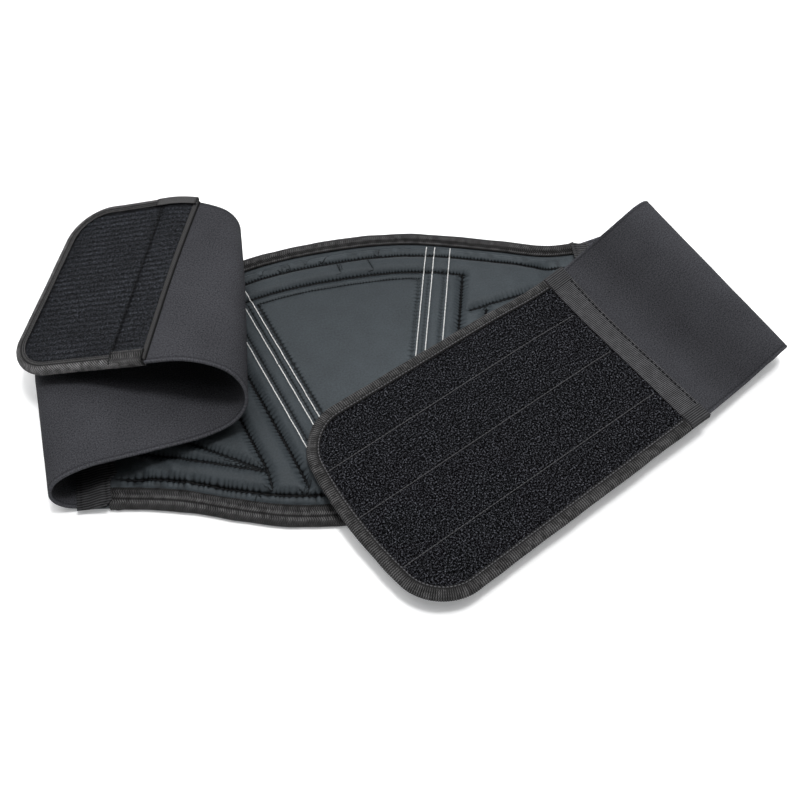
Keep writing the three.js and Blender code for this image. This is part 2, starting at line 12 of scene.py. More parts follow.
import bpy
import numpy as np
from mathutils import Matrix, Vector


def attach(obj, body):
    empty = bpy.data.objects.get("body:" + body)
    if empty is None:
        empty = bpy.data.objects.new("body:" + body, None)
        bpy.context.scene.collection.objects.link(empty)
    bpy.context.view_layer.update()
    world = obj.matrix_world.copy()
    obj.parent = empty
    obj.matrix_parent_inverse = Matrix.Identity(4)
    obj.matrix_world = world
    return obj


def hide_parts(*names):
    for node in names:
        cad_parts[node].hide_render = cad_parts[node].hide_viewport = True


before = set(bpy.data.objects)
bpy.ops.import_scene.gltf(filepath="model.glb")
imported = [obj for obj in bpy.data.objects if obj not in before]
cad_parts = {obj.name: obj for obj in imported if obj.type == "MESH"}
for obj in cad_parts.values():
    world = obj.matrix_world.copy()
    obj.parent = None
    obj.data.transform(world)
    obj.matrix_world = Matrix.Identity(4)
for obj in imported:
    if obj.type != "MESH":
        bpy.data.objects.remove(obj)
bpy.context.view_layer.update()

LOG = logging.getLogger("kidney_belt")
Array = np.ndarray
Colour = tuple[float, float, float]
Faces = list[tuple[int, ...]]
Material = bpy.types.Material
Piece = bpy.types.Object
Place = Callable[[Array, Array, Array], Array]

MM = 0.001
BODY = "root"

# Clearance between sewn pieces, the wings' thickness, and half their width
GAP = 0.3
SHEET = 2.0
WING_HALF = 68.5

# Ends of the back panel: half its length at a height across the belt, and how far the ends lean
END_HALF = 174.5
END_MIDDLE = 29.5
END_LEAN = math.radians(1.0)

# Lean of the quilting lines that fan out from the panel's middle
FAN_SLOPE = 0.302

# The "seam" and "pull" vectors of a place that no seam is near
NO_SEAM = (99.0, 0.5, 0.0)
NO_PULL = (1.0, 1.0, 0.0)


# Noise and curves


def lattice(column: Array, row: Array, seed: int) -> Array:
    """Gives a repeatable random number for each lattice corner.

    Args:
        column: whole numbers along the first axis.
        row: whole numbers along the second axis.
        seed: picks one of many lattices.

    Returns:
        Values from 0 to 1, in the shape of the inputs.
    """
    mixed = (column * 374761393 + row * 668265263 + seed * 974711) & 0xFFFFFFFF
    mixed = ((mixed ^ (mixed >> 13)) * 1274126177) & 0xFFFFFFFF
    return ((mixed ^ (mixed >> 16)) & 0xFFFF) / 65535.0


def drift(first: Array, second: Array, seed: int) -> Array:
    """Smooth random value over a plane, with features about one unit across.

    Args:
        first: places along the first axis.
        second: places along the second axis.
        seed: picks the pattern.

    Returns:
        Values from -1 to 1.
    """
    first, second = np.broadcast_arrays(np.asarray(first, float), np.asarray(second, float))
    column, row = np.floor(first).astype(np.int64), np.floor(second).astype(np.int64)
    u, v = first - column, second - row
    u, v = u * u * (3 - 2 * u), v * v * (3 - 2 * v)
    low = lattice(column, row, seed) * (1 - u) + lattice(column + 1, row, seed) * u
    high = lattice(column, row + 1, seed) * (1 - u) + lattice(column + 1, row + 1, seed) * u
    return 2 * (low * (1 - v) + high * v) - 1


def wave(turns: Array) -> Array:
    """Rounded ribs: 0 in the grooves and 1 on the crests, one rib a turn."""
    return np.abs(np.sin(np.pi * turns))


def ease(value: Array, start: float, stop: float) -> Array:
    """Smooth step from 0 at start to 1 at stop."""
    share = np.clip((value - start) / (stop - start), 0, 1)
    return share * share * (3 - 2 * share)


def bell(offset: Array, half: float) -> Array:
    """Smooth bump: 1 where the offset is 0, fading over about half on each side."""
    return np.exp(-((offset / half) ** 2))


def unit(vectors: Array) -> Array:
    """Vectors scaled to length one along the last axis."""
    return vectors / np.maximum(np.linalg.norm(vectors, axis=-1, keepdims=True), 1e-9)


def straight(x0: float, y0: float, x1: float, y1: float, count: int) -> Array:
    """Straight flat path from one place to another, with a count of points."""
    return np.column_stack([np.linspace(x0, x1, count), np.linspace(y0, y1, count)])


def distances(path: Array) -> Array:
    """How far along a path each of its points is."""
    return np.concatenate([[0.0], np.cumsum(np.linalg.norm(np.diff(path, axis=0), axis=1))])


def spaced(path: Array, step: float) -> tuple[Array, Array]:
    """Divides a path evenly.

    Args:
        path: points of the path, one row each.
        step: wanted distance between points.

    Returns:
        The new points, and how far along the path each one is.
    """
    runs = distances(path)
    along = np.linspace(0, runs[-1], max(2, int(round(runs[-1] / step)) + 1))
    points = np.stack([np.interp(along, runs, path[:, k]) for k in range(path.shape[1])], axis=1)
    return points, along


# Meshes


@dataclass
class Shell:
    """Points and faces of one closed skin, in millimetres, with its flat places and its tones."""

    points: Array
    faces: Faces
    flat: Array
    tone: Array
    extra: dict[str, Array] = field(default_factory=dict)

    def outward(self) -> None:
        """Turns the faces so that they all look out of the skin."""
        total = 0.0
        for size in (3, 4):
            same = np.array([f for f in self.faces if len(f) == size], dtype=np.int64)
            for k in range(1, size - 1):
                if len(same):
                    a, b, c = (self.points[same[:, i]] for i in (0, k, k + 1))
                    total += float(np.einsum("ij,ij->", a, np.cross(b, c)))
        if total < 0:
            self.faces = [tuple(reversed(face)) for face in self.faces]

    def piece(self, name: str, material: Material, slot: str) -> Piece:
        """Makes the Blender object that rides on the part.

        Args:
            name: the piece's name.
            material: its finish.
            slot: the record's material slot; not used.

        Returns:
            The new object.
        """
        self.outward()
        mesh = bpy.data.meshes.new(name)
        mesh.from_pydata((self.points * MM).tolist(), [], [tuple(map(int, f)) for f in self.faces])
        flat = mesh.attributes.new("flat", "FLOAT_VECTOR", "POINT")
        flat.data.foreach_set("vector", (self.flat * MM).astype(np.float32).ravel())
        tone = mesh.attributes.new("tone", "FLOAT", "POINT")
        tone.data.foreach_set("value", np.asarray(self.tone, np.float32).ravel())
        for label, rows in self.extra.items():
            kept = mesh.attributes.new(label, "FLOAT_VECTOR", "POINT")
            kept.data.foreach_set("vector", rows.astype(np.float32).ravel())
        mesh.polygons.foreach_set("use_smooth", [True] * len(mesh.polygons))
        mesh.materials.append(material)
        mesh.update()
        piece = bpy.data.objects.new(name, mesh)
        bpy.context.scene.collection.objects.link(piece)
        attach(piece, BODY)
        LOG.info("%s: %d faces", name, len(mesh.polygons))
        return piece


def grid_faces(numbers: Array) -> Faces:
    """Four-sided faces between neighbouring rows and columns.

    Args:
        numbers: point numbers in rows and columns.

    Returns:
        The faces, row by row.
    """
    a, b = numbers[:-1, :-1], numbers[:-1, 1:]
    d, c = numbers[1:, :-1], numbers[1:, 1:]
    return [tuple(q) for q in np.stack([a, b, c, d], axis=-1).reshape(-1, 4).tolist()]


def tube_faces(rings: int, sides: int) -> Faces:
    """Faces of a closed tube, with a cap on each end.

    Args:
        rings: rings along the tube.
        sides: points round each ring.

    Returns:
        The faces, for points that are numbered ring by ring.
    """
    numbers = np.arange(rings * sides).reshape(rings, sides)
    faces = grid_faces(np.column_stack([numbers, numbers[:, :1]]))
    return faces + [tuple(numbers[0].tolist()), tuple(numbers[-1][::-1].tolist())]


def zipped(points: Array, one: Array, two: Array, turned: bool) -> Faces:
    """Triangles between two ends of different division, walked side by side.

    Args:
        points: every point of the skin.
        one: point numbers of the first end.
        two: point numbers of the second end.
        turned: whether the faces look the other way.

    Returns:
        The faces.
    """
    faces: Faces = []
    i = j = 0
    while i + 1 < len(one) or j + 1 < len(two):
        next_one = points[one[i + 1]][1] if i + 1 < len(one) else -1e9
        next_two = points[two[j + 1]][1] if j + 1 < len(two) else -1e9
        if next_one >= next_two:
            face = (int(one[i]), int(one[i + 1]), int(two[j]))
            i += 1
        else:
            face = (int(one[i]), int(two[j + 1]), int(two[j]))
            j += 1
        faces.append(tuple(reversed(face)) if turned else face)
    return faces


def rim_numbers(rows: int, columns: int) -> list[tuple[int, int]]:
    """Row and column of each point round a grid's edge, in order.

    Args:
        rows: rows of the grid.
        columns: columns of the grid.

    Returns:
        One pair for each point.
    """
    return (
        [(0, j) for j in range(columns)]
        + [(i, columns - 1) for i in range(1, rows)]
        + [(rows - 1, j) for j in range(columns - 2, -1, -1)]
        + [(i, 0) for i in range(rows - 2, 0, -1)]
    )


def slab(top: Array, low: Array, flat: Array, tone: Array, rim_rows: int, bulge: float) -> Shell:
    """Closed sheet between two grids of the same division, with a rounded rim.

    Args:
        top: upper points, rows by columns by three.
        low: lower points in the same shape.
        flat: flat places, rows by columns by two.
        tone: brightness of each upper point.
        rim_rows: rows of points round the rim.
        bulge: how far the rim stands out.

    Returns:
        The closed skin.
    """
    rows, columns = top.shape[:2]
    count = rows * columns
    upper = np.arange(count).reshape(rows, columns)
    faces = grid_faces(upper) + grid_faces((upper + count)[:, ::-1])
    edge = rim_numbers(rows, columns)
    at = np.array([i * columns + j for i, j in edge])
    near = np.array([min(max(i, 1), rows - 2) * columns + min(max(j, 1), columns - 2) for i, j in edge])
    tops, lows = top.reshape(-1, 3), low.reshape(-1, 3)
    out = unit((tops[at] + lows[at]) - (tops[near] + lows[near]))
    points, rings = [tops, lows], [at]
    for k in range(1, rim_rows + 1):
        angle = math.pi * k / (rim_rows + 1)
        middle, half = (tops[at] + lows[at]) / 2, (tops[at] - lows[at]) / 2
        points.append(middle + half * math.cos(angle) + out * bulge * math.sin(angle))
        rings.append(2 * count + (k - 1) * len(at) + np.arange(len(at)))
    rings.append(at + count)
    for one, two in zip(rings[:-1], rings[1:]):
        quads = np.stack([one, two, np.roll(two, -1), np.roll(one, -1)], axis=1)
        faces += [tuple(q) for q in quads.tolist()]
    places = flat.reshape(-1, 2)
    tones = tone.reshape(-1)
    flats = np.concatenate([places, places] + [places[at]] * rim_rows)
    all_tones = np.concatenate([tones, tones] + [tones[at]] * rim_rows)
    return Shell(np.concatenate(points), faces, np.column_stack([flats, np.zeros(len(flats))]), all_tones)


def laid(place: Place, s: Array, t: Array, heights: tuple[Array, Array], tone: Array, rim_rows: int,
         bulge: float) -> Shell:
    """Closed sheet over a grid of flat places.

    Args:
        place: turns flat places and heights into points.
        s: distance along the sheet, rows by columns.
        t: distance across it in the same shape.
        heights: its upper and lower heights.
        tone: brightness of each upper point.
        rim_rows: rows of points round the rim.
        bulge: how far the rim stands out.

    Returns:
        The closed skin.
    """
    top, low = (place(s, t, np.broadcast_to(height, t.shape)).reshape(*t.shape, 3) for height in heights)
    return slab(top, low, np.stack([s, t], axis=-1), tone, rim_rows, bulge)


def joined(shells: Sequence[Shell]) -> Shell:
    """Several closed skins as one, each turned outwards first.

    Args:
        shells: the skins.

    Returns:
        One shell of them all.
    """
    points, faces, start = [], [], 0
    for shell in shells:
        shell.outward()
        points.append(shell.points)
        faces += [tuple(k + start for k in face) for face in shell.faces]
        start += len(shell.points)
    flat = np.concatenate([shell.flat for shell in shells])
    tone = np.concatenate([shell.tone for shell in shells])
    return Shell(np.concatenate(points), faces, flat, tone)


# Shader nodes


class Term:
    """A value in a material's nodes. Python maths on it adds Math nodes."""

    def __init__(self, graph: "Graph", socket: bpy.types.NodeSocket) -> None:
        """Keeps the socket and the graph that it belongs to."""
        self.graph = graph
        self.socket = socket

    def _math(self, operation: str, first: Any, second: Any = None) -> "Term":
        """Adds one Math node.

        Args:
            operation: the node's operation.
            first: its first value.
            second: its second value, where it has one.

        Returns:
            The node's result.
        """
        sockets = {0: first} if second is None else {0: first, 1: second}
        return self.graph.node("ShaderNodeMath", {"operation": operation}, sockets)

    def __add__(self, other: Any) -> "Term":
        """Sum."""
        return self._math("ADD", self, other)

    __radd__ = __add__

    def __sub__(self, other: Any) -> "Term":
        """Difference."""
        return self._math("SUBTRACT", self, other)

    def __rsub__(self, other: Any) -> "Term":
        """Difference, taken the other way."""
        return self._math("SUBTRACT", other, self)

    def __mul__(self, other: Any) -> "Term":
        """Product."""
        return self._math("MULTIPLY", self, other)

    __rmul__ = __mul__

    def __truediv__(self, other: Any) -> "Term":
        """Quotient."""
        return self._math("DIVIDE", self, other)

    def __rtruediv__(self, other: Any) -> "Term":
        """Quotient, taken the other way."""
        return self._math("DIVIDE", other, self)

    def __pow__(self, other: Any) -> "Term":
        """Power."""
        return self._math("POWER", self, other)

    def sine(self) -> "Term":
        """Sine of the value."""
        return self._math("SINE", self)

    def exponent(self) -> "Term":
        """The natural exponential of the value."""
        return self._math("EXPONENT", self)

    def absolute(self) -> "Term":
        """The value without its sign."""
        return self._math("ABSOLUTE", self)


class Graph:
    """The nodes of one material or world."""

    def __init__(self, name: str) -> None:
        """Starts a material with one shader."""
        self.material = bpy.data.materials.new(name)
        self.material.use_nodes = True
        self.tree = self.material.node_tree
        self.tree.nodes.clear()
        self.shader = self.tree.nodes.new("ShaderNodeBsdfPrincipled")
        output = self.tree.nodes.new("ShaderNodeOutputMaterial")
        self.tree.links.new(self.shader.outputs[0], output.inputs[0])

    @classmethod
    def of(cls, tree: bpy.types.NodeTree) -> "Graph":
        """Wraps nodes that exist already.

        Args:
            tree: the nodes.

        Returns:
            A graph that adds to them.
        """
        graph = cls.__new__(cls)
        graph.tree = tree
        return graph

    def node(self, kind: str, settings: Optional[dict[str, Any]] = None,
             sockets: Optional[dict[Union[int, str], Any]] = None, out: Union[int, str] = 0) -> Term:
        """Adds any node.

        Args:
            kind: the node's type.
            settings: its properties, set before its sockets.
            sockets: values or links of its inputs, by name or place.
            out: the output to use.

        Returns:
            That output.
        """
        made = self.tree.nodes.new(kind)
        for key, value in (settings or {}).items():
            setattr(made, key, value)
        for key, value in (sockets or {}).items():
            self.feed(made.inputs[key], value)
        return Term(self, made.outputs[out])

    def feed(self, socket: bpy.types.NodeSocket, value: Any) -> None:
        """Links a term to a socket, or sets the socket's own value.

        Args:
            socket: an input of a node.
            value: a term, or a plain value.
        """
        if isinstance(value, Term):
            self.tree.links.new(value.socket, socket)
        else:
            socket.default_value = value

    def kept(self, label: str) -> Term:
        """Vector kept with the mesh."""
        return self.node("ShaderNodeAttribute", {"attribute_name": label}, out="Vector")

    def flat(self) -> Term:
        """Place on the flat cloth, in metres."""
        return self.kept("flat")

    def tone(self) -> Term:
        """Brightness kept with the mesh."""
        return self.node("ShaderNodeAttribute", {"attribute_name": "tone"}, out="Fac")

    def noise(self, place: Term, grain: float, detail: float = 2.0) -> Term:
        """Noise with features about grain millimetres across."""
        sockets = {"Vector": place, "Scale": 1 / (grain * MM), "Detail": detail}
        return self.node("ShaderNodeTexNoise", {"noise_dimensions": "3D"}, sockets, "Fac")

    def three(self, place: Term) -> tuple[Term, Term, Term]:
        """The three numbers of a vector.

        Args:
            place: the vector.

        Returns:
            Its numbers in order.
        """
        split = self.node("ShaderNodeSeparateXYZ", None, {0: place})
        outputs = split.socket.node.outputs
        return split, Term(self, outputs[1]), Term(self, outputs[2])

    def axes(self, place: Term) -> tuple[Term, Term]:
        """First and second numbers of a place."""
        return self.three(place)[:2]

    def mixed(self, factor: Any, first: Any, second: Any, blend: str = "MIX") -> Term:
        """Two colours mixed by a factor."""
        settings = {"data_type": "RGBA", "blend_type": blend}
        return self.node("ShaderNodeMix", settings, {0: factor, 6: first, 7: second}, 2)

    def spread(self, value: Term, low: float, high: float) -> Term:
        """Stretches a value so that low becomes 0 and high becomes 1, clamped."""
        return self.node("ShaderNodeMapRange", {"clamp": True}, {"Value": value, 1: low, 2: high})

    def surface(self, colour: Term, roughness: Any, height: Term, depth: float, specular: float) -> Material:
        """Feeds the shader.

        Args:
            colour: base colour, before the mesh's tone, which also carries painted light and shade.
            roughness: roughness.
            height: relief, about 0 to 1 on plain cloth.
            depth: depth of a relief of 1, in millimetres.
            specular: strength of the shine.

        Returns:
            The finished material.
        """
        toned = self.mixed(1.0, colour, self.tone(), "MULTIPLY")
        sockets = {"Strength": 1.0, "Distance": depth * MM, "Height": height}
        relief = self.node("ShaderNodeBump", None, sockets)
        for name, value in (("Base Color", toned), ("Roughness", roughness), ("Normal", relief),
                            ("Specular IOR Level", specular)):
            self.feed(self.shader.inputs[name], value)
        return self.material


def shade(colour: Colour, level: float = 1.0) -> tuple[float, float, float, float]:
    """A colour with its brightness changed, and with alpha."""
    return (colour[0] * level, colour[1] * level, colour[2] * level, 1.0)


# Finishes


@dataclass(frozen=True)
class PanelNylon:
    """Satin nylon with a fine plain weave."""

    colour: Colour = (0.0402, 0.0478, 0.0535)
    thread: float = 0.42
    tooth: float = 1.2
    roughness: float = 0.55
    cloud: float = 16.0
    slub: float = 1.2
    relief: float = 0.14
    specular: float = 0.13

    def material(self) -> Material:
        """The finish as a material, with the sewn lines and the puckers beside them, in painted highlights
        and painted shade.

        Returns:
            The new material.
        """
        g = Graph("panel_nylon")
        flat = g.flat()
        x, y = g.axes(flat)
        turn = 2 * math.pi / (self.thread * MM)
        weave = (x * turn).sine() * (y * turn).sine() * 0.5 + 0.5
        cloud = g.noise(flat, self.cloud, 3.0)
        slub = g.noise(flat, self.slub, 3.0)
        mottle = g.spread(cloud * 0.35 + slub * 0.65, 0.32, 0.68)
        gap, turns, seam_shade = g.three(g.kept("seam"))
        half, reach, pull = g.three(g.kept("pull"))
        crest = (turns * math.pi).sine().absolute()
        bite = 1.0 - crest
        pinch = bite ** 1.6
        line = seam_shade * g.spread((0.0 - (gap / half / (bite * self.tooth + 1.0)) ** 2.0).exponent(), 0.08, 0.7)
        drawn = pull * (0.0 - (gap / reach) ** 2.0).exponent() * g.spread(cloud, 0.3, 0.6)
        pucker = drawn * pinch
        colour = g.mixed(mottle, shade(self.colour, 0.78), shade(self.colour, 1.22))
        # Painted highlight on the puckers' crests near a seam
        colour = g.mixed(drawn * crest ** 3.0 * 0.45, colour, shade(self.colour, 1.6))
        # Painted shade in the valleys between the puckers
        colour = g.mixed(pucker * 0.8, colour, shade(self.colour, 0.15))
        # Painted shade: the seam's dip drawn near black along the sewn line
        colour = g.mixed(line, colour, shade(self.colour, 0.02))
        rough = self.roughness - 0.06 + mottle * 0.12
        height = weave * 0.25 + slub * 0.3 - line * 4.0 - pucker * 4.0
        return g.surface(colour, rough, height, self.relief, self.specular)


@dataclass(frozen=True)
class WingKnit:
    """Matt fine knit laid on foam, with a light fleck."""

    colour: Colour = (0.0348, 0.0353, 0.0398)
    loop: float = 0.7
    fleck: float = 0.9
    fine: float = 0.5
    cloud: float = 30.0
    roughness: float = 0.92
    relief: float = 0.05
    specular: float = 0.06

    def material(self) -> Material:
        """The finish as a material.

        Returns:
            The new material.
        """
        g = Graph("wing_knit")
        flat = g.flat()
        x, y = g.axes(flat)
        turn = 2 * math.pi / (self.loop * MM)
        rows = (x * turn + (y * turn * 0.5).sine() * 1.4).sine() * 0.5 + 0.5
        fleck = g.noise(flat, self.fleck, 2.0)
        fine = g.noise(flat, self.fine, 1.0)
        cloud = g.noise(flat, self.cloud, 2.0)
        light = g.spread(fleck * 0.55 + fine * 0.35 + cloud * 0.1, 0.36, 0.64)
        colour = g.mixed(light, shade(self.colour, 0.45), shade(self.colour, 1.65))
        height = rows * 0.35 + fine * 0.35 + fleck * 0.3
        return g.surface(colour, self.roughness, height, self.relief, self.specular)


@dataclass(frozen=True)
class TapeCloth:
    """Woven tape for bindings and joins."""

    name: str
    colour: Colour
    grain: float = 0.5
    fuzz: float = 0.6
    wear: float = 7.0
    relief: float = 0.12
    specular: float = 0.08

    def material(self) -> Material:
        """The finish as a material.

        Returns:
            The new material.
        """
        g = Graph(self.name)
        flat = g.flat()
        x, y = g.axes(flat)
        turn = 2 * math.pi / (self.grain * MM)
        yarn = (x * turn).sine() * (y * turn * 0.8).sine() * 0.5 + 0.5
        fuzz = g.noise(flat, self.fuzz, 2.0)
        patchiness = g.noise(flat, self.wear, 2.0)
        light = g.spread(yarn * 0.5 + fuzz * 0.35 + patchiness * 0.15, 0.25, 0.75)
        colour = g.mixed(light, shade(self.colour, 0.55), shade(self.colour, 1.45))
        rough = 0.78 + fuzz * 0.15
        return g.surface(colour, rough, yarn * 0.5 + fuzz * 0.5, self.relief, self.specular)


@dataclass(frozen=True)
class LoopPile:
    """Brushed loop pile: near black, with light fibre tips."""

    colour: Colour = (0.0117, 0.0121, 0.014)
    tuft: float = 1.15
    tip: float = 0.75
    relief: float = 0.5
    specular: float = 0.03

    def material(self) -> Material:
        """The finish as a material.

        Returns:
            The new material.
        """
        g = Graph("loop_pile")
        flat = g.flat()
        tuft = g.noise(flat, self.tuft, 3.0)
        tip = g.noise(flat, self.tip, 2.0)
        light = g.spread(tuft * 0.5 + tip * 0.5, 0.44, 0.64)
        colour = g.mixed(light ** 2.3, shade(self.colour, 0.05), shade(self.colour, 9.0))
        return g.surface(colour, 1.0, tuft * 0.6 + tip * 0.4, self.relief, self.specular)


@dataclass(frozen=True)
class HookFabric:
    """Stiff hook fabric: rows of tiny hooks on a ribbed ground."""

    colour: Colour = (0.0155, 0.017, 0.0205)
    hook: float = 1.3
    glint: float = 0.7
    relief: float = 0.35
    specular: float = 0.1

    def material(self) -> Material:
        """The finish as a material.

        Returns:
            The new material.
        """
        g = Graph("hook_fabric")
        flat = g.flat()
        hooks = g.noise(flat, self.hook, 3.0)
        glint = g.noise(flat, self.glint, 1.0)
        light = g.spread(hooks * 0.6 + glint * 0.4, 0.4, 0.64)
        colour = g.mixed(light ** 1.5, shade(self.colour, 0.3), shade(self.colour, 2.3))
        rough = 0.75 - light * 0.2
        return g.surface(colour, rough, hooks * 0.5 + glint * 0.5, self.relief, self.specular)


@dataclass(frozen=True)
class Thread:
    """Twisted sewing thread."""

    name: str
    colour: Colour
    twist: float = 0.7
    fuzz: float = 0.4
    roughness: float = 0.6
    relief: float = 0.08
    specular: float = 0.12

    def material(self) -> Material:
        """The finish as a material.

        Returns:
            The new material.
        """
        g = Graph(self.name)
        flat = g.flat()
        x, y = g.axes(flat)
        twist = ((x + y) * (2 * math.pi / (self.twist * MM))).sine() * 0.5 + 0.5
        fuzz = g.noise(flat, self.fuzz, 1.0)
        colour = g.mixed(twist * 0.5 + fuzz * 0.5, shade(self.colour, 0.82), shade(self.colour, 1.1))
        return g.surface(colour, self.roughness, twist, self.relief, self.specular)


@dataclass
class Finishes:
    """Every finish of the belt, made once."""

    panel: Material = field(default_factory=PanelNylon().material)
    wing: Material = field(default_factory=WingKnit().material)
    binding: Material = field(
        default_factory=TapeCloth("binding_tape", (0.036, 0.0355, 0.036), 1.35).material)
    tape: Material = field(default_factory=TapeCloth("ribbed_tape", (0.042, 0.042, 0.044)).material)
    loop: Material = field(default_factory=LoopPile().material)
    hook: Material = field(default_factory=HookFabric().material)
    white: Material = field(default_factory=Thread("white_thread", (0.86, 0.86, 0.85)).material)
    dark: Material = field(default_factory=Thread("dark_thread", (0.012, 0.013, 0.015)).material)
    grey: Material = field(default_factory=Thread("grey_thread", (0.085, 0.085, 0.09)).material)


# Tapes and threads


class Weave(Enum):
    """Which way a tape's ribs run."""

    ACROSS = "across"
    ALONG = "along"
    TWILL = "twill"
    KNIT = "knit"


@dataclass(frozen=True)
class Ribs:
    """Ribs of a woven tape, uneven from patch to patch."""

    weave: Weave
    pitch: float
    height: float
    twill_slope: float = 1.1
    zigzag_width: float = 2.6
    zigzag_depth: float = 1.3
    patch: float = 2.3
    seed: int = 5

    def lift(self, along: Array, across: Array) -> Array:
        """Height of the ribs at places on the tape.

        Args:
            along: distance along the tape.
            across: distance across it.

        Returns:
            Heights from 0 to the ribs' own height.
        """
        if self.weave is Weave.ACROSS:
            turns = along / self.pitch
        elif self.weave is Weave.ALONG:
            turns = across / self.pitch
        elif self.weave is Weave.TWILL:
            turns = (along + self.twill_slope * across) / self.pitch
        else:
            zigzag = np.abs((across / self.zigzag_width) % 2 - 1)
            turns = (along + self.zigzag_depth * zigzag) / self.pitch
        rough = 0.08 if self.weave is Weave.ALONG else 0.25
        uneven = 1 - rough + rough * drift(along / self.patch, across / self.patch, self.seed)
        return self.height * wave(turns) * uneven


class Band(NamedTuple):
    """One place round a folded tape, at a distance from its inner upper edge, and how the tape is there."""

    at: float
    tone: float = 1.0
    ribbed: float = 1.0
    sink: float = 0.0


# Band tones: partly the tapes' own rows, partly painted light on the rounded nose and painted shade at the
# inner edge and in the sunk grooves
PLAIN_BANDS = (Band(0),)
SMOOTH_BANDS = (Band(0, 1.9, 0.25),)
TOP_BANDS = (
    Band(0, 0.4, 1.2), Band(0.8, 0.4, 1.2, 0.2), Band(1.1, 1.7, 1.3), Band(1.8, 1.7, 1.3),
    Band(2.2, 0.6, 1.3, 0.2), Band(4.6, 0.6, 1.3, 0.2), Band(5.4, 1.5, 1.3), Band(7.4, 1.6, 1.3),
    Band(8.0, 1.2, 0.7), Band(16, 1.6, 0.7))
BOTTOM_BANDS = (
    Band(0, 0.6, 1.3), Band(1.5, 0.6, 1.3), Band(2.0, 1.1, 1.2), Band(4.6, 1.1, 1.2),
    Band(5.1, 2.0, 1.4), Band(6.6, 2.0, 1.4), Band(7.1, 0.55, 1, 0.3), Band(8.2, 0.55, 1, 0.3),
    Band(8.8, 1.8, 1.4), Band(10.6, 1.8, 1.4), Band(11.2, 1.0, 0.8), Band(16, 1.0, 0.8))
HOOK_BANDS = (
    Band(0, 1.75, 0.3), Band(1.9, 1.75, 0.3), Band(2.4, 0.45, 0.1, 0.3), Band(2.9, 0.45, 0.1, 0.3),
    Band(3.4, 2.4, 1.2), Band(5.0, 3.2, 1.2), Band(6.5, 3.8, 1.2), Band(10, 3.6, 1.2))
BOX_BANDS = (
    Band(0, 1.8, 1), Band(0.9, 1.8, 1), Band(1.5, 0.5, 0.2, 0.25), Band(2.2, 1.7, 1.3),
    Band(6.0, 1.7, 1.3), Band(6.7, 0.5, 0.2, 0.25), Band(7.4, 2.4, 1.2), Band(9, 2.4, 1.2))
LOOP_BANDS = (
    Band(0, 0.5, 0.3), Band(1.9, 0.5, 0.3), Band(2.4, 1.3, 1.35), Band(6.5, 1.7, 1.35), Band(8.5, 1.7, 1.35))


def u_section(width: float, low: float, high: float, thick: float, across: int,
              nose: int) -> tuple[Array, Array, Array]:
    """Section of a tape folded round an edge.

    Args:
        width: how far the tape reaches in from the edge.
        low: underside of what it holds.
        high: upper side of what it holds.
        thick: the tape's thickness.
        across: points across its upper side.
        nose: points round the fold.

    Returns:
        The section's points (out, up), their outward normals (zero inside), and distance round it.
    """
    longest_bend, back_points, slack = 2.2, 5, 0.4
    over, under = high + thick, low - thick
    middle, half = (over + under) / 2, (over - under) / 2
    reach = min(half, longest_bend)
    turn = [math.radians(angle) for angle in np.linspace(90, -90, nose + 2)[1:-1]]
    outer = [(out, over) for out in np.linspace(-width, -reach, across)]
    outer += [(-reach + reach * math.cos(angle), middle + half * math.sin(angle)) for angle in turn]
    outer += [(out, under) for out in np.linspace(-reach, -width, back_points)]
    inner = [(-width, low), (-thick - slack, low), (-thick - slack, high), (-width, high)]
    section = np.array(outer + inner)
    count = len(outer)
    tangent = np.gradient(section[:count], axis=0)
    normal = np.zeros_like(section)
    normal[:count] = unit(np.stack([-tangent[:, 1], tangent[:, 0]], axis=1))
    normal[0] = normal[count - 1] = 0.0
    return section, normal, distances(section)


@dataclass
class FoldedTape:
    """Tape folded round an edge that follows a flat path, with the outside on the path's left.

    It ripples all along, is lumpy near its ends, and may have a dark line at each end.
    """

    path: Array
    place: Place
    width: float
    low: float
    high: float
    thick: float
    ribs: Ribs
    bands: tuple[Band, ...] = PLAIN_BANDS
    step: float = 0.36
    ripple: float = 0.15
    lumps: float = 0.0
    seed: int = 1
    across: int = 12
    nose: int = 9
    end_line: float = 0.0

    def shell(self) -> Shell:
        """Builds the closed tape.

        Returns:
            Its shell, ring by ring along the path.
        """
        points, along = spaced(self.path, self.step)
        section, normal, around = u_section(
            self.width, self.low, self.high, self.thick, self.across, self.nose)
        run = unit(np.gradient(points, axis=0))
        rings, count = len(points), len(section)
        far = np.broadcast_to(along[:, None], (rings, count))
        round_it = np.broadcast_to(around[None, :], (rings, count))
        at, *columns = zip(*self.bands)
        light, ribbed, sink = (np.interp(around, at, column) for column in columns)
        share = self.ribs.lift(far, round_it) / self.ribs.height
        lift = self.ribs.height * share * ribbed - sink
        end_gap = np.minimum(along, along[-1] - along)
        soft = self.ripple * drift(along / 11.0, along * 0, self.seed)[:, None]
        ended = np.exp(-end_gap / 6.0)[:, None]
        soft = soft + self.lumps * ended * drift(far / 3.1, round_it / 4.0, self.seed + 20)
        out = section[None, :, 0] + normal[None, :, 0] * (lift + soft)
        up = section[None, :, 1] + normal[None, :, 1] * (lift + 0.5 * soft)
        s = points[:, None, 0] - run[:, None, 1] * out
        t = points[:, None, 1] + run[:, None, 0] * out
        solid = self.place(s.ravel(), t.ravel(), up.ravel())
        flat = np.column_stack([far.ravel(), round_it.ravel(), np.zeros(rings * count)])
        ends = 1 - self.end_line * bell(end_gap[:, None], 1.2)
        # Painted light on the rib crests and painted shade in the grooves between them, over the bands' tones
        tone = light * np.maximum(1 + ribbed * (1.8 * share - 1.1), 0.08) * ends
        return Shell(solid, tube_faces(rings, count), flat, tone.ravel())


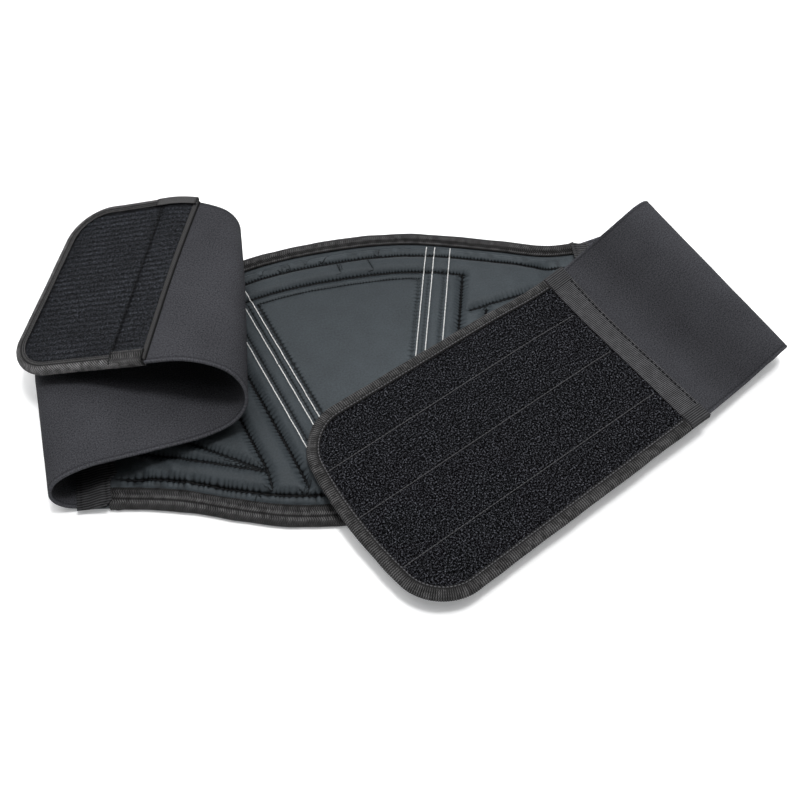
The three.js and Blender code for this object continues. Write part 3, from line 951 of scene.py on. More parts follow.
@dataclass(frozen=True)
class Sewing:
    """A sewn thread: half its width, the length of a stitch, and how much thinner it is where it dips."""

    radius: float
    pitch: float
    bead: float = 0.55
    sides: int = 6
    step: float = 0.5
    squash: float = 0.75

    def along(self, centre: Array, up: Array) -> Shell:
        """Thread that dips into the cloth between stitches.

        Args:
            centre: points along the sewn line, on the cloth.
            up: direction out of the cloth at each point.

        Returns:
            The closed thread.
        """
        runs = distances(centre)
        swell = np.abs(np.sin(np.pi * runs / self.pitch)) ** (2 * self.bead)
        tangent = unit(np.gradient(centre, axis=0))
        side = unit(np.cross(up, tangent))
        rise = unit(np.cross(tangent, side))
        axis = centre + rise * (self.radius * (1.6 * self.bead * (swell - 1) + 0.6))[:, None]
        size = self.radius * (1 - self.bead + self.bead * swell)
        angles = np.linspace(0, 2 * math.pi, self.sides, endpoint=False)
        ring = (side[:, None, :] * np.cos(angles)[None, :, None]
                + self.squash * rise[:, None, :] * np.sin(angles)[None, :, None])
        points = axis[:, None, :] + ring * size[:, None, None]
        count = len(centre)
        flat = np.column_stack([
            np.repeat(runs, self.sides), np.tile(angles, count), np.zeros(count * self.sides)])
        # Painted shade where the thread sinks into the cloth between stitches
        tone = np.repeat(0.72 + 0.28 * swell, self.sides)
        return Shell(points.reshape(-1, 3), tube_faces(count, self.sides), flat, tone)

    def on(self, place: Place, path: Array, height: float) -> Shell:
        """Thread along a flat path on a sheet.

        Args:
            place: turns flat places and heights into points.
            path: flat path of the line.
            height: height of the cloth's surface.

        Returns:
            The closed thread.
        """
        points, _ = spaced(path, self.step)
        level = np.full(len(points), height)
        centre = place(points[:, 0], points[:, 1], level)
        up = unit(place(points[:, 0], points[:, 1], level + 1.0) - centre)
        return self.along(centre, up)


# Back panel


@dataclass(frozen=True)
class Stitch:
    """How a sewn line pulls the padding.

    Its dip has a depth and a width to each side. Its puckers have a height, a reach to each side and a pitch
    along the line. Its dark line, painted shade in the dip, has a strength and half a width, and a thread
    lies on it where it is sewn.
    """

    depth: float
    width: float
    pucker: float
    reach: float
    pitch: float
    seam_shade: float = 1.0
    half: float = 0.5
    sewn: bool = False


@dataclass(frozen=True)
class Seam:
    """A sewn line on the panel, with puckers of its own."""

    path: Array
    stitch: Stitch
    seed: int

    def measure(self, x: Array, y: Array) -> tuple[Array, Array, Array, Array]:
        """Finds the points that the seam affects.

        Args:
            x: places along the belt.
            y: places across it.

        Returns:
            Their numbers, their distance from the seam, how far along it they are, and on which side.
        """
        margin = max(self.stitch.width, 2.5 * self.stitch.reach)
        low, high = self.path.min(0) - margin, self.path.max(0) + margin
        found = np.nonzero((x > low[0]) & (x < high[0]) & (y > low[1]) & (y < high[1]))[0]
        px, py = x[found], y[found]
        best = np.full(len(found), 1e9)
        place = np.zeros(len(found))
        side = np.ones(len(found))
        start = 0.0
        for (ax, ay), (bx, by) in zip(self.path[:-1], self.path[1:]):
            dx, dy = bx - ax, by - ay
            length = math.hypot(dx, dy)
            share = np.clip(((px - ax) * dx + (py - ay) * dy) / length**2, 0, 1)
            gap = np.hypot(px - ax - share * dx, py - ay - share * dy)
            closer = gap < best
            best = np.where(closer, gap, best)
            place = np.where(closer, start + share * length, place)
            side = np.where(closer, np.sign((py - ay) * dx - (px - ax) * dy + 1e-9), side)
            start += length
        return found, best, place, side

    def turns(self, along: Array) -> Array:
        """Stitches counted along the seam, unevenly spaced.

        Args:
            along: distance along the seam.

        Returns:
            Their count, or half a stitch where the seam has no pitch.
        """
        if not self.stitch.pitch:
            return np.full(len(along), 0.5)
        return along / self.stitch.pitch + 0.55 * drift(along / 8.0, along * 0, self.seed)


class Crease(NamedTuple):
    """A short crease in the nylon, from one place to another, with its depth."""

    x0: float
    y0: float
    x1: float
    y1: float
    depth: float


class ShortLine(NamedTuple):
    """A straight sewn line beside the fan, on the right side, and whether a thread lies on it."""

    x0: float
    y0: float
    x1: float
    y1: float
    sewn: bool = True


@dataclass
class BackPanel:
    """Padded and quilted back panel, its edge bindings, the tapes over its ends, and its threads."""

    finishes: Finishes
    outline_x: tuple[float, ...] = (0, 30, 60, 90, 120, 150, 180)
    outline_top: tuple[float, ...] = (136, 135, 130.5, 121.5, 111, 100.5, 98.5)
    outline_low: tuple[float, ...] = (-83, -81.5, -76, -65.5, -53.5, -45.5, -40.5)
    crown: tuple[tuple[float, ...], ...] = (
        (1.6, 12.6, 14.2, 17, 21, 32, 60), (5.1, 5.1, 7.4, 10, 11.6, 12.8, 13.2))
    ends: tuple[tuple[float, ...], ...] = ((0, 8, 26, 38, 60), (4.5, 6.5, 6.6, 10.5, 13.2))
    columns: int = 400
    rows: int = 222
    underside: tuple[float, ...] = (0, 0.02, 0.05, 0.075, 0.3, 0.5, 0.7, 0.925, 0.95, 0.98, 1)
    edge_inset: float = 1.7
    edge_height: float = 5.1
    binding_end: float = 10.5
    binding_low: float = 1.25
    binding_high: float = 5.35
    binding_thick: float = 1.0
    binding_ribs: Ribs = Ribs(Weave.KNIT, 1.45, 0.28)
    top_width: float = 10.9
    top_out: float = 1.9
    top_longer: float = 6.0
    low_width: float = 13.2
    low_out: float = -0.2
    seam_end: float = 172.0
    upper_inset: float = 22.3
    upper_rise: float = 2.0
    second_inset: float = 38.6
    keystone_inset: float = 45.5
    lower_inset: float = 19.0
    keystone_foot: float = 29.6
    white_feet: tuple[float, ...] = (32.3, 38.4, 49.7)
    white_inset: float = 10.8
    white_pull_inset: float = 16.0
    inner_foot: float = 36.1
    outer_foot: float = 47.2
    corner_foot: float = 60.2
    last_foot: float = 78.5
    upper_stitch: Stitch = Stitch(4.2, 6.0, 0.4, 2.6, 2.3, half=0.62, sewn=True)
    second_stitch: Stitch = Stitch(3.6, 6.0, 0.4, 2.6, 2.3, half=0.62, sewn=True)
    lower_stitch: Stitch = Stitch(3.8, 6.0, 1.0, 4.6, 3.6, half=0.74, sewn=True)
    keystone_stitch: Stitch = Stitch(1.5, 2.4, 0.5, 1.8, 2.0, 0.85, 0.28)
    side_stitch: Stitch = Stitch(1.5, 3.0, 0.9, 3.2, 3.0, half=0.6)
    white_stitch: Stitch = Stitch(1.3, 3.0, 0.5, 4.0, 3.6, seam_shade=0.0)
    inner_stitch: Stitch = Stitch(1.2, 2.2, 0.7, 1.8, 2.6, half=0.32)
    outer_stitch: Stitch = Stitch(1.5, 2.8, 0.8, 2.4, 2.6, half=0.4)
    corner_stitch: Stitch = Stitch(4.4, 7.0, 1.0, 4.6, 2.8, half=0.55, sewn=True)
    last_stitch: Stitch = Stitch(3.8, 7.0, 1.0, 4.6, 2.8, half=0.55, sewn=True)
    short_stitch: Stitch = Stitch(3.4, 6.5, 0.9, 4.6, 2.8, 0.9, 0.55)
    crease_stitch: Stitch = Stitch(1.0, 2.2, 0.0, 2.0, 0.0, 0.75, 0.32)
    # Strength of the shade painted in the smaller fan lines' dips, by side: weaker on the right, where less
    # shade falls
    side_seam_shades: tuple[tuple[int, float], ...] = ((1, 0.3), (-1, 0.75))
    short_lines: tuple[ShortLine, ...] = (
        ShortLine(67, -40, 162, 23), ShortLine(67, -40, 166, -1), ShortLine(84, 53.5, 150, 63.5),
        ShortLine(66.6, -40, 65.6, -51, False))
    creases: tuple[Crease, ...] = (
        Crease(2.2, 112.6, 3.5, 103.3, 1.0), Crease(4.8, 112.5, 5.2, 105, 0.6),
        Crease(24, 109.6, 26, 101.6, 1.0), Crease(-47.3, 120, -48.6, 114.2, 0.9),
        Crease(-35.3, 115, -35.3, 110.7, 0.9), Crease(-1.5, 121.8, -6, 115.8, 1.0),
        Crease(-30.3, 118.2, -29.6, 114, 0.7), Crease(-15.1, 121.6, -16.6, 118.6, 0.8),
        Crease(33.9, 118.5, 32.3, 114.3, 0.7), Crease(-41.9, -52, -45.3, -60, 1.0),
        Crease(-43.7, -51, -46.8, -57.5, 0.8), Crease(-75, -53, -79, -60, 0.8))
    white_sewing: Sewing = Sewing(0.36, 3.0, 0.16)
    dark_sewing: Sewing = Sewing(0.4, 3.4)
    tape_out: float = 7.0
    tape_in: float = 20.0
    tape_skewed_in: float = 5.5
    tape_near_cut: float = 8.0
    tape_heights: tuple[tuple[float, ...], ...] = ((-7, 0, 8, 14, 20), (4.8, 4.8, 6.9, 6.95, 7.0))
    tape_thick: float = 0.9
    tape_ribs: Ribs = Ribs(Weave.ALONG, 1.7, 0.3)
    seams: list[Seam] = field(default_factory=list)

    def edge(self, x: Array, heights: Sequence[float]) -> Array:
        """Upper or lower edge of the outline, as a smooth curve through its table.

        Args:
            x: places along the belt.
            heights: the edge's table.

        Returns:
            Places across the belt.
        """
        step = self.outline_x[1]
        at = np.minimum(np.abs(np.asarray(x, float)), self.outline_x[-1])
        i = np.minimum((at / step).astype(int), len(heights) - 2)
        table = np.array(heights, float)
        last = len(heights) - 1
        a, b, c, d = (table[np.minimum(np.abs(i + k), last)] for k in (-1, 0, 1, 2))
        u = at / step - i
        return b + 0.5 * u * (c - a + u * (2 * a - 5 * b + 4 * c - d + u * (3 * (b - c) + d - a)))

    def top(self, x: Array) -> Array:
        """Upper edge."""
        return self.edge(x, self.outline_top)

    def low(self, x: Array) -> Array:
        """Lower edge."""
        return self.edge(x, self.outline_low)

    def inset(self, x: Array, y: Array) -> Array:
        """Distance in from the nearer long edge, measured across the belt."""
        return np.minimum(self.top(x) - y, y - self.low(x))

    def end_inset(self, x: Array, y: Array) -> Array:
        """Distance in from the nearer end."""
        return (END_HALF - math.tan(END_LEAN) * (y - END_MIDDLE) - np.abs(x)) * math.cos(END_LEAN)

    def along_edge(self, upper: bool, inset: float, reach: float) -> Array:
        """Path beside a long edge.

        Args:
            upper: whether it is the upper edge.
            inset: distance in from the edge.
            reach: how far it goes on both sides of the middle.

        Returns:
            Its flat places.
        """
        x = np.linspace(-reach, reach, max(3, int(2 * reach / 5)))
        y = self.top(x) - inset if upper else self.low(x) + inset
        return np.column_stack([x, y])

    def fan(self, foot: float, low: float, high: float, side: int) -> Array:
        """Path of a line that fans out from the middle."""
        y = np.linspace(low, high, 12)
        return np.column_stack([side * (foot + FAN_SLOPE * y), y])

    def fan_meets(self, foot: float, inset: float) -> float:
        """Place across the belt where a fan line meets the line beside the upper edge.

        Args:
            foot: where the fan line crosses the belt's middle.
            inset: distance of the other line from the upper edge.

        Returns:
            The place, after enough rounds to settle.
        """
        y = 90.0
        for _ in range(20):
            y = float(self.top(np.array(foot + FAN_SLOPE * y))) - inset
        return y

    def sew(self) -> None:
        """Lists the sewn lines and the creases."""
        corner = self.fan_meets(self.corner_foot, self.second_inset)
        corner_x = self.corner_foot + FAN_SLOPE * corner
        keystone = self.fan_meets(self.keystone_foot, self.keystone_inset)
        keystone_x = self.keystone_foot + FAN_SLOPE * keystone
        upper = self.along_edge(True, self.upper_inset, self.seam_end)
        upper[:, 1] += self.upper_rise * ease(np.abs(upper[:, 0]), 125, 155)
        self.seams.append(Seam(upper, self.upper_stitch, 2))
        second = self.along_edge(True, self.second_inset, corner_x)
        self.seams.append(Seam(second, self.second_stitch, 3))
        head = self.along_edge(True, self.keystone_inset, keystone_x)
        self.seams.append(Seam(head, self.keystone_stitch, 4))
        lower = self.along_edge(False, self.lower_inset, self.seam_end)
        self.seams.append(Seam(lower, self.lower_stitch, 5))
        for side, seam_shade in self.side_seam_shades:
            fans = [(self.keystone_foot, -70, keystone, replace(self.side_stitch, seam_shade=seam_shade))]
            for foot in self.white_feet:
                fans.append((foot, -72, self.fan_meets(foot, self.white_pull_inset), self.white_stitch))
            fans.append((self.inner_foot, -70, keystone, replace(self.inner_stitch, seam_shade=seam_shade)))
            fans.append((self.outer_foot, -66, keystone + 4, replace(self.outer_stitch, seam_shade=seam_shade)))
            fans.append((self.corner_foot, -55, corner, self.corner_stitch))
            fans.append((self.last_foot, -40, 52, self.last_stitch))
            lines = [(self.fan(foot, low, high, side), stitch) for foot, low, high, stitch in fans]
            for x0, y0, x1, y1, sewn in self.short_lines:
                path = straight(side * x0, y0, side * x1, y1, 10)
                lines.append((path, replace(self.short_stitch, sewn=sewn)))
            first_seed = 10 * (side + 2) + 1
            self.seams += [Seam(path, stitch, first_seed + k) for k, (path, stitch) in enumerate(lines)]
        for x0, y0, x1, y1, depth in self.creases:
            # A crease gets shade painted in its dip, as strong as the crease is deep
            stitch = replace(self.crease_stitch, depth=depth, seam_shade=self.crease_stitch.seam_shade * depth)
            self.seams.append(Seam(straight(x0, y0, x1, y1, 5), stitch, 1))

    def pulled(self, x: Array, y: Array) -> tuple[Array, Array, Array, Array]:
        """What the seams do to the padding.

        Args:
            x: places along the belt.
            y: places across it.

        Returns:
            How far the padding is drawn down, its wrinkles, and the "seam" and "pull" vectors of surface.
        """
        dip = np.zeros(len(x))
        wrinkle = np.zeros(len(x))
        near = np.tile(NO_SEAM, (len(x), 1))
        pull = np.tile(NO_PULL, (len(x), 1))
        for seam in self.seams:
            stitch = seam.stitch
            found, gap, along, side = seam.measure(x, y)
            turns = seam.turns(along)
            if stitch.seam_shade > 0:
                own = (gap < np.abs(near[found, 0]))[:, None]
                # The seam's painted shade fades out between 2.2 and 3.4 mm from it
                row = np.column_stack([gap * side, turns, stitch.seam_shade * (1 - ease(gap, 2.2, 3.4))])
                near[found] = np.where(own, row, near[found])
                strength = stitch.pucker * (0.7 + 0.3 * drift(along / 13.0, along * 0 + 3.5, seam.seed))
                strength = strength * (1 - ease(gap, 0.8 * stitch.reach, 1.2 * stitch.reach))
                row = np.column_stack([turns * 0 + stitch.half, turns * 0 + stitch.reach, strength])
                pull[found] = np.where(own, row, pull[found])
            sunk = stitch.depth * np.clip(1 - gap / stitch.width, 0, 1) ** 1.9
            dip[found] = np.maximum(dip[found], sunk)
            fade = np.exp(-((gap / stitch.reach) ** 1.25))
            wavy = 0.5 * drift(along / 3.4, gap / 9.0 + side * 5, seam.seed) + 0.45 * (1 - wave(turns))
            wrinkle[found] += stitch.pucker * wavy * fade
        return dip, wrinkle, near, pull

    def surface(self, x: Array, y: Array) -> tuple[Array, Array, dict[str, Array]]:
        """Height and tone of the padding's upper side.

        Args:
            x: places along the belt.
            y: places across it.

        Returns:
            Heights, tones, and two vectors for each place: "seam" has the signed distance from the nearest
            seam, the stitches along it and the strength of the shade painted in its dip, and "pull" its half
            width and its puckers' reach and strength.
        """
        inset = self.inset(x, y)
        ended = self.end_inset(x, y)
        padding = np.minimum(np.interp(inset, *self.crown), np.interp(ended, *self.ends))
        free = ease(ended, 18, 34) * ease(inset, 12.6, 16)
        dip, wrinkle, near, pull = self.pulled(x, y)
        soft = 0.35 * drift(x / 21.0, y / 15.0, 41) + 0.16 * drift(x / 7.0, y / 6.0, 42)
        keystone = ease(self.top(x) - y, 44, 48) * (1 - ease(np.abs(x) - FAN_SLOPE * y, 26, 30))
        strip = ease(inset, 11, 13) * (1 - ease(inset, 18, 22))
        corner = ease(-x, 100, 122) * ease(-y, 5, 25)
        crumple = drift(x / 3.2, y / 13.0, 45) * strip + drift(x / 3.6 + y / 9.0, y / 6.0, 46) * corner
        wrinkle += 0.6 * crumple
        relief = dip + wrinkle - soft * (1 - 0.7 * keystone) + 0.5 * keystone
        height = np.maximum(padding - free * relief, np.minimum(padding, self.edge_height))
        sheen = 0.9 + 0.12 * ease(x, 30, 90) + 0.34 * ease(-y, -100, 10) * ease(x, -75, 30)
        # Painted shade in the crumpled hollows, where the crumples sink the padding
        tone = (1 - 0.3 * crumple) * sheen
        held = (ease(ended, 14, 24) * ease(inset, 11, 13))[:, None]
        near[:, 2:] *= held
        pull[:, 2:] *= held
        return height, tone, {"seam": near, "pull": pull}

    def padding(self) -> None:
        """Builds the padded body."""
        guess = (2 * np.linspace(0, 1, self.columns + 1) - 1) * (END_HALF - 0.2)
        top, low = self.top(guess) - self.edge_inset, self.low(guess) + self.edge_inset

        def row(share: float) -> tuple[Array, Array]:
            """Places along the belt at a share of the way from the upper edge to the lower one."""
            y = top * (1 - share) + low * share
            return guess * (1 - math.tan(END_LEAN) * (y - END_MIDDLE) / END_HALF), y

        grid = np.array([row(share) for share in np.linspace(0, 1, self.rows + 1)])
        x, y = grid[:, 0], grid[:, 1]
        height, tone, sewn = self.surface(x.ravel(), y.ravel())
        upper = np.column_stack([x.ravel(), y.ravel(), height])
        under = []
        for share in self.underside:
            x_low, y_low = row(share)
            clear = np.minimum(self.inset(x_low, y_low) - 11.5, self.end_inset(x_low, y_low))
            under.append(np.column_stack([x_low, y_low, 1.6 * (1 - ease(clear, 1.5, 4.5))]))
        points = np.concatenate([upper] + under)
        numbers = np.arange(len(upper)).reshape(x.shape)
        below = len(upper) + np.arange(len(points) - len(upper)).reshape(len(under), -1)
        faces = grid_faces(numbers) + grid_faces(below[:, ::-1])
        faces += grid_faces(np.stack([below[0], numbers[0]]))
        faces += grid_faces(np.stack([numbers[-1], below[-1]]))
        faces += zipped(points, numbers[:, 0], below[:, 0], False)
        faces += zipped(points, numbers[:, -1], below[:, -1], True)
        rest = len(points) - len(tone)
        tones = np.concatenate([tone, np.ones(rest)])
        extra = {
            "seam": np.concatenate([sewn["seam"], np.tile(NO_SEAM, (rest, 1))]),
            "pull": np.concatenate([sewn["pull"], np.tile(NO_PULL, (rest, 1))])}
        shell = Shell(points, faces, points * np.array([1.0, 1.0, 0.0]), tones, extra)
        piece = shell.piece("panel_padding", self.finishes.panel, "panel_nylon")
        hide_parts("back_panel")

    def over(self, path: Array, lift: float) -> tuple[Array, Array]:
        """Points on the padding along a path.

        Args:
            path: flat places.
            lift: height above the padding.

        Returns:
            The points, and the direction out of the padding at each.
        """
        x, y = path[:, 0], path[:, 1]

        def height(dx: float, dy: float) -> Array:
            """Height a little way off."""
            return self.surface(x + dx, y + dy)[0]

        step = 0.8
        slope_x = (height(step, 0) - height(-step, 0)) / (2 * step)
        slope_y = (height(0, step) - height(0, -step)) / (2 * step)
        up = unit(np.column_stack([-slope_x, -slope_y, np.ones(len(x))]))
        return np.column_stack([x, y, height(0, 0) + lift]), up

    def threads(self) -> None:
        """Sews the white lines and the dark quilting lines."""
        white, dark = [], []
        for side in (1, -1):
            for foot in self.white_feet:
                fan = self.fan(foot, -72, self.fan_meets(foot, self.white_inset), side)
                path, _ = spaced(fan, 0.6)
                white.append(self.white_sewing.along(*self.over(path, 0.2)))
        for seam in self.seams:
            if seam.stitch.sewn:
                path, _ = spaced(seam.path, 0.7)
                inside = self.end_inset(path[:, 0], path[:, 1]) > 16
                dark.append(self.dark_sewing.along(*self.over(path[inside], 0.05)))
        joined(white).piece("panel_white_thread", self.finishes.white, "panel_nylon")
        joined(dark).piece("panel_dark_thread", self.finishes.dark, "panel_nylon")

    def bindings(self) -> None:
        """Folds the knit binding round both long edges."""

        def place(s: Array, t: Array, h: Array) -> Array:
            """The panel lies flat, so flat places are real ones."""
            return np.column_stack([s, t, h])

        reach = END_HALF - self.binding_end
        right = np.linspace(-reach, reach + self.top_longer, 200)
        plain = np.linspace(-reach, reach, 200)
        top_path = np.column_stack([right, self.top(right) + self.top_out])
        low_path = np.column_stack([plain, self.low(plain) - self.low_out])[::-1]
        for node, path, width, bands, seed in (
                ("panel_binding_top", top_path, self.top_width, TOP_BANDS, 8),
                ("panel_binding_bottom", low_path, self.low_width, BOTTOM_BANDS, 7)):
            tape = FoldedTape(
                path, place, width, self.binding_low, self.binding_high, self.binding_thick,
                self.binding_ribs, bands, step=0.42, ripple=0.3, lumps=0.9, seed=seed, across=30)
            piece = tape.shell().piece(node + "_tape", self.finishes.binding, "binding_tape")
            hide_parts(node)

    def joint_tapes(self) -> None:
        """Lays the ribbed tape over each end of the panel."""
        share = np.linspace(0, 1, 300)[:, None]
        ends = (-1, "joint_tape_left", self.tape_in), (1, "joint_tape_right", self.tape_skewed_in)
        for side, node, far in ends:
            left, right = side < 0, side > 0
            ragged = 2.2 * drift(share * 24.0, share * 0, 35) * left
            cut = self.tape_near_cut * (1 - ease(share, 0.04, 0.3)) * left
            inner = self.tape_in + (far - self.tape_in) * share + ragged - cut
            insets = -self.tape_out + (inner + self.tape_out) * np.linspace(0, 1, 18)[None, :]
            raised = 0.6 * ease(insets, -3, 3) * ease(share, 0.8, 0.95) * right
            heights = np.interp(insets, *self.tape_heights) + raised
            reach = END_HALF - insets
            y = self.low(reach) * (1 - share) + self.top(reach) * share
            x = side * (END_HALF - math.tan(END_LEAN) * (y - END_MIDDLE) - insets)
            lift = self.tape_ribs.lift(insets, y)
            pinch = 0.35 * bell(inner - insets - 2.5, 0.8) + 0.35 * bell(insets + 4.5, 0.8)
            lumps = 0.5 * np.exp(-(inner - insets) / 5.0) * drift(insets / 3.0, y / 3.0, 33)
            top = np.stack([x, y, heights + self.tape_thick + lift - pinch + lumps], axis=-1)
            low = np.stack([x, y, heights], axis=-1)
            # Painted light on the rib crests, painted shade in the pinched lines, and the left tape drawn
            # darker as shade under the left wing
            tone = (0.1 + 1.9 * (lift / self.tape_ribs.height) ** 1.5 - pinch) * (1 if right else 0.75)
            shell = slab(top, low, np.stack([x, y], axis=-1), tone, 2, 0.25)
            piece = shell.piece(node + "_cloth", self.finishes.tape, "ribbed_tape")
            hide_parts(node)

    def build(self) -> None:
        """Makes every piece of the panel."""
        self.sew()
        self.padding()
        self.threads()
        self.bindings()
        self.joint_tapes()


# Wings


@dataclass(frozen=True)
class Fold:
    """A stretch of a wing: its length, the angle it turns through, and how its bend lines lean."""

    length: float
    turn: float = 0.0
    lean_in: float = 0.0
    lean_out: float = 0.0


def turned(vector: Array, axis: Array, angle: float) -> Array:
    """A vector turned about an axis by an angle in radians."""
    along = axis * float(axis @ vector) * (1 - math.cos(angle))
    return vector * math.cos(angle) + np.cross(axis, vector) * math.sin(angle) + along


class FoldedStrip:
    """A flat strip carried through its folds."""

    fine_turn = 1.0

    def __init__(self, origin: Sequence[float], heading: float, folds: Sequence[Fold]) -> None:
        """Marches along the folds.

        Args:
            origin: where the strip's centre line starts.
            heading: its direction on the floor, in degrees.
            folds: its stretches in order.
        """
        angle = math.radians(heading)
        self.bend_s: list[float] = []
        self.slope: list[float] = []
        origins = [np.array(origin, float)]
        along = [np.array([math.cos(angle), math.sin(angle), 0.0])]
        across = [np.array([-math.sin(angle), math.cos(angle), 0.0])]
        starts = [0.0]
        s = 0.0
        for fold in folds:
            steps = math.ceil(abs(fold.turn) / self.fine_turn)
            for k in range(steps):
                share = (k + 0.5) / steps
                lean = math.radians(fold.lean_in + (fold.lean_out - fold.lean_in) * share)
                line = across[-1] * math.cos(lean) - along[-1] * math.sin(lean)
                bend = math.radians(-fold.turn / steps)
                at = s + fold.length * share
                origins.append(origins[-1] + along[-1] * (at - starts[-1]))
                along.append(turned(along[-1], line, bend))
                across.append(turned(across[-1], line, bend))
                starts.append(at)
                self.bend_s.append(at)
                self.slope.append(math.tan(lean))
            s += fold.length
        self.origins, self.along, self.across = np.array(origins), np.array(along), np.array(across)
        self.starts = np.array(starts)
        self.normals = np.cross(self.along, self.across)

    def place(self, s: Array, t: Array, h: Array) -> Array:
        """Points at flat places, lifted off the sheet's middle.

        Args:
            s: distance along the centre line.
            t: distance across it.
            h: height off the sheet's middle.

        Returns:
            One point a row.
        """
        s, t, h = (np.asarray(v, float).ravel() for v in np.broadcast_arrays(s, t, h))
        facet = np.zeros(len(s), int)
        for bend, slope in zip(self.bend_s, self.slope):
            facet += s > bend - t * slope
        last = len(self.bend_s)
        before = np.clip(facet - 1, 0, last - 1)
        after = np.clip(facet, 0, last - 1)
        bends, slopes = np.array(self.bend_s), np.array(self.slope)
        start, stop = bends[before] - t * slopes[before], bends[after] - t * slopes[after]
        inside = (facet > 0) & (facet < last)
        share = np.where(inside, (s - start) / np.maximum(stop - start, 1e-6), 0.5)[:, None]
        own = self.normals[facet]
        behind = unit(own + self.normals[np.clip(facet - 1, 0, last)])
        ahead = unit(own + self.normals[np.clip(facet + 1, 0, last)])
        normal = np.where(inside[:, None], unit(behind * (1 - share) + ahead * share), own)
        flat = (s - self.starts[facet])[:, None] * self.along[facet] + t[:, None] * self.across[facet]
        return self.origins[facet] + flat + normal * h[:, None]

    def start_at(self, t: Array) -> Array:
        """Flat place where the strip starts, just clear of the panel's end.

        Args:
            t: distance across the strip.

        Returns:
            Distance along its centre line.
        """
        side = math.copysign(1, self.along[0][0])
        tilt = math.tan(END_LEAN)
        x = side * (self.origins[0][0] + self.across[0][0] * t)
        y = self.origins[0][1] + self.across[0][1] * t - END_MIDDLE
        return (END_HALF + GAP - x - tilt * y) / (side * self.along[0][0] + tilt * self.along[0][1])


@dataclass(frozen=True)
class Tip:
    """Rounded end of a wing, in flat places."""

    start: float
    stop: float
    half: float
    radius: float
    flare: float = 0.0
    slant: float = 0.0
    bow: float = 0.0

    def shrunk(self, by: float) -> "Tip":
        """The same tip, smaller all round."""
        return replace(self, stop=self.stop - by, half=self.half - by, radius=self.radius - by)

    def width(self, at: Array) -> Array:
        """Half width at places along the tip.

        Args:
            at: distance along the wing.

        Returns:
            Half widths, with the flare and the rounded corners.
        """
        flat = self.half + self.flare * np.clip((at - self.start) / (self.stop - self.start), 0, 1)
        past = np.maximum(0, at - (self.stop - self.radius))
        return flat - self.radius + np.sqrt(np.maximum(0, self.radius**2 - past**2))

    def flat(self, at: Array, t: Array) -> tuple[Array, Array]:
        """Flat place after the tip's slant and bow."""
        share = np.clip((at - self.start) / (self.stop - self.start), 0, 1)
        return at + self.slant * t * share + self.bow * (1 - (t / self.half) ** 2) * share**3, t

    def path(self, start: float, margin: float = 0.0) -> Array:
        """Open path round the tip.

        Args:
            start: where it starts on one edge and ends on the other.
            margin: how far inside the tip it runs.

        Returns:
            Its flat places.
        """
        tip = self.shrunk(margin) if margin else self
        corner = tip.stop - tip.radius
        along = np.linspace(start, corner, 60)
        edge = np.column_stack([along, tip.width(along)])
        past = corner + tip.radius * np.sin(np.linspace(0, math.pi / 2, 24))
        turn = np.column_stack([past, tip.width(past)])
        middle = float(turn[-1, 1])
        half = np.concatenate([edge, turn[1:]])
        end = np.column_stack([np.full(40, tip.stop), np.linspace(middle, -middle, 42)[1:-1]])
        whole = np.concatenate([half, end, (half * np.array([1, -1]))[::-1]])
        return np.column_stack(tip.flat(whole[:, 0], whole[:, 1]))


def across_sheet(columns: int) -> Array:
    """Places across a sheet from -1 to 1, closer together near its cut edges."""
    rim = 1 - np.linspace(0, 0.06, 9)
    return np.unique(np.round(np.concatenate([np.linspace(-1, 1, columns), rim, -rim]), 5))


def hem_groove(inside: Array) -> Array:
    """Depth of the pressed line just inside a wing's cut edges."""
    return 0.16 * bell(inside - 1.7, 0.5)


def sheet_tone(t: Array, half: Array, rim: float = 1.3) -> Array:
    """Tone of a cut sheet: a painted rim highlight, painted shade in the line inside it, plain cloth beyond.
    """
    inside = half - np.abs(t)
    return 1 + 0.3 * (1 - ease(inside, 0.2, rim)) - 0.4 * bell(inside - rim - 0.5, 0.45)


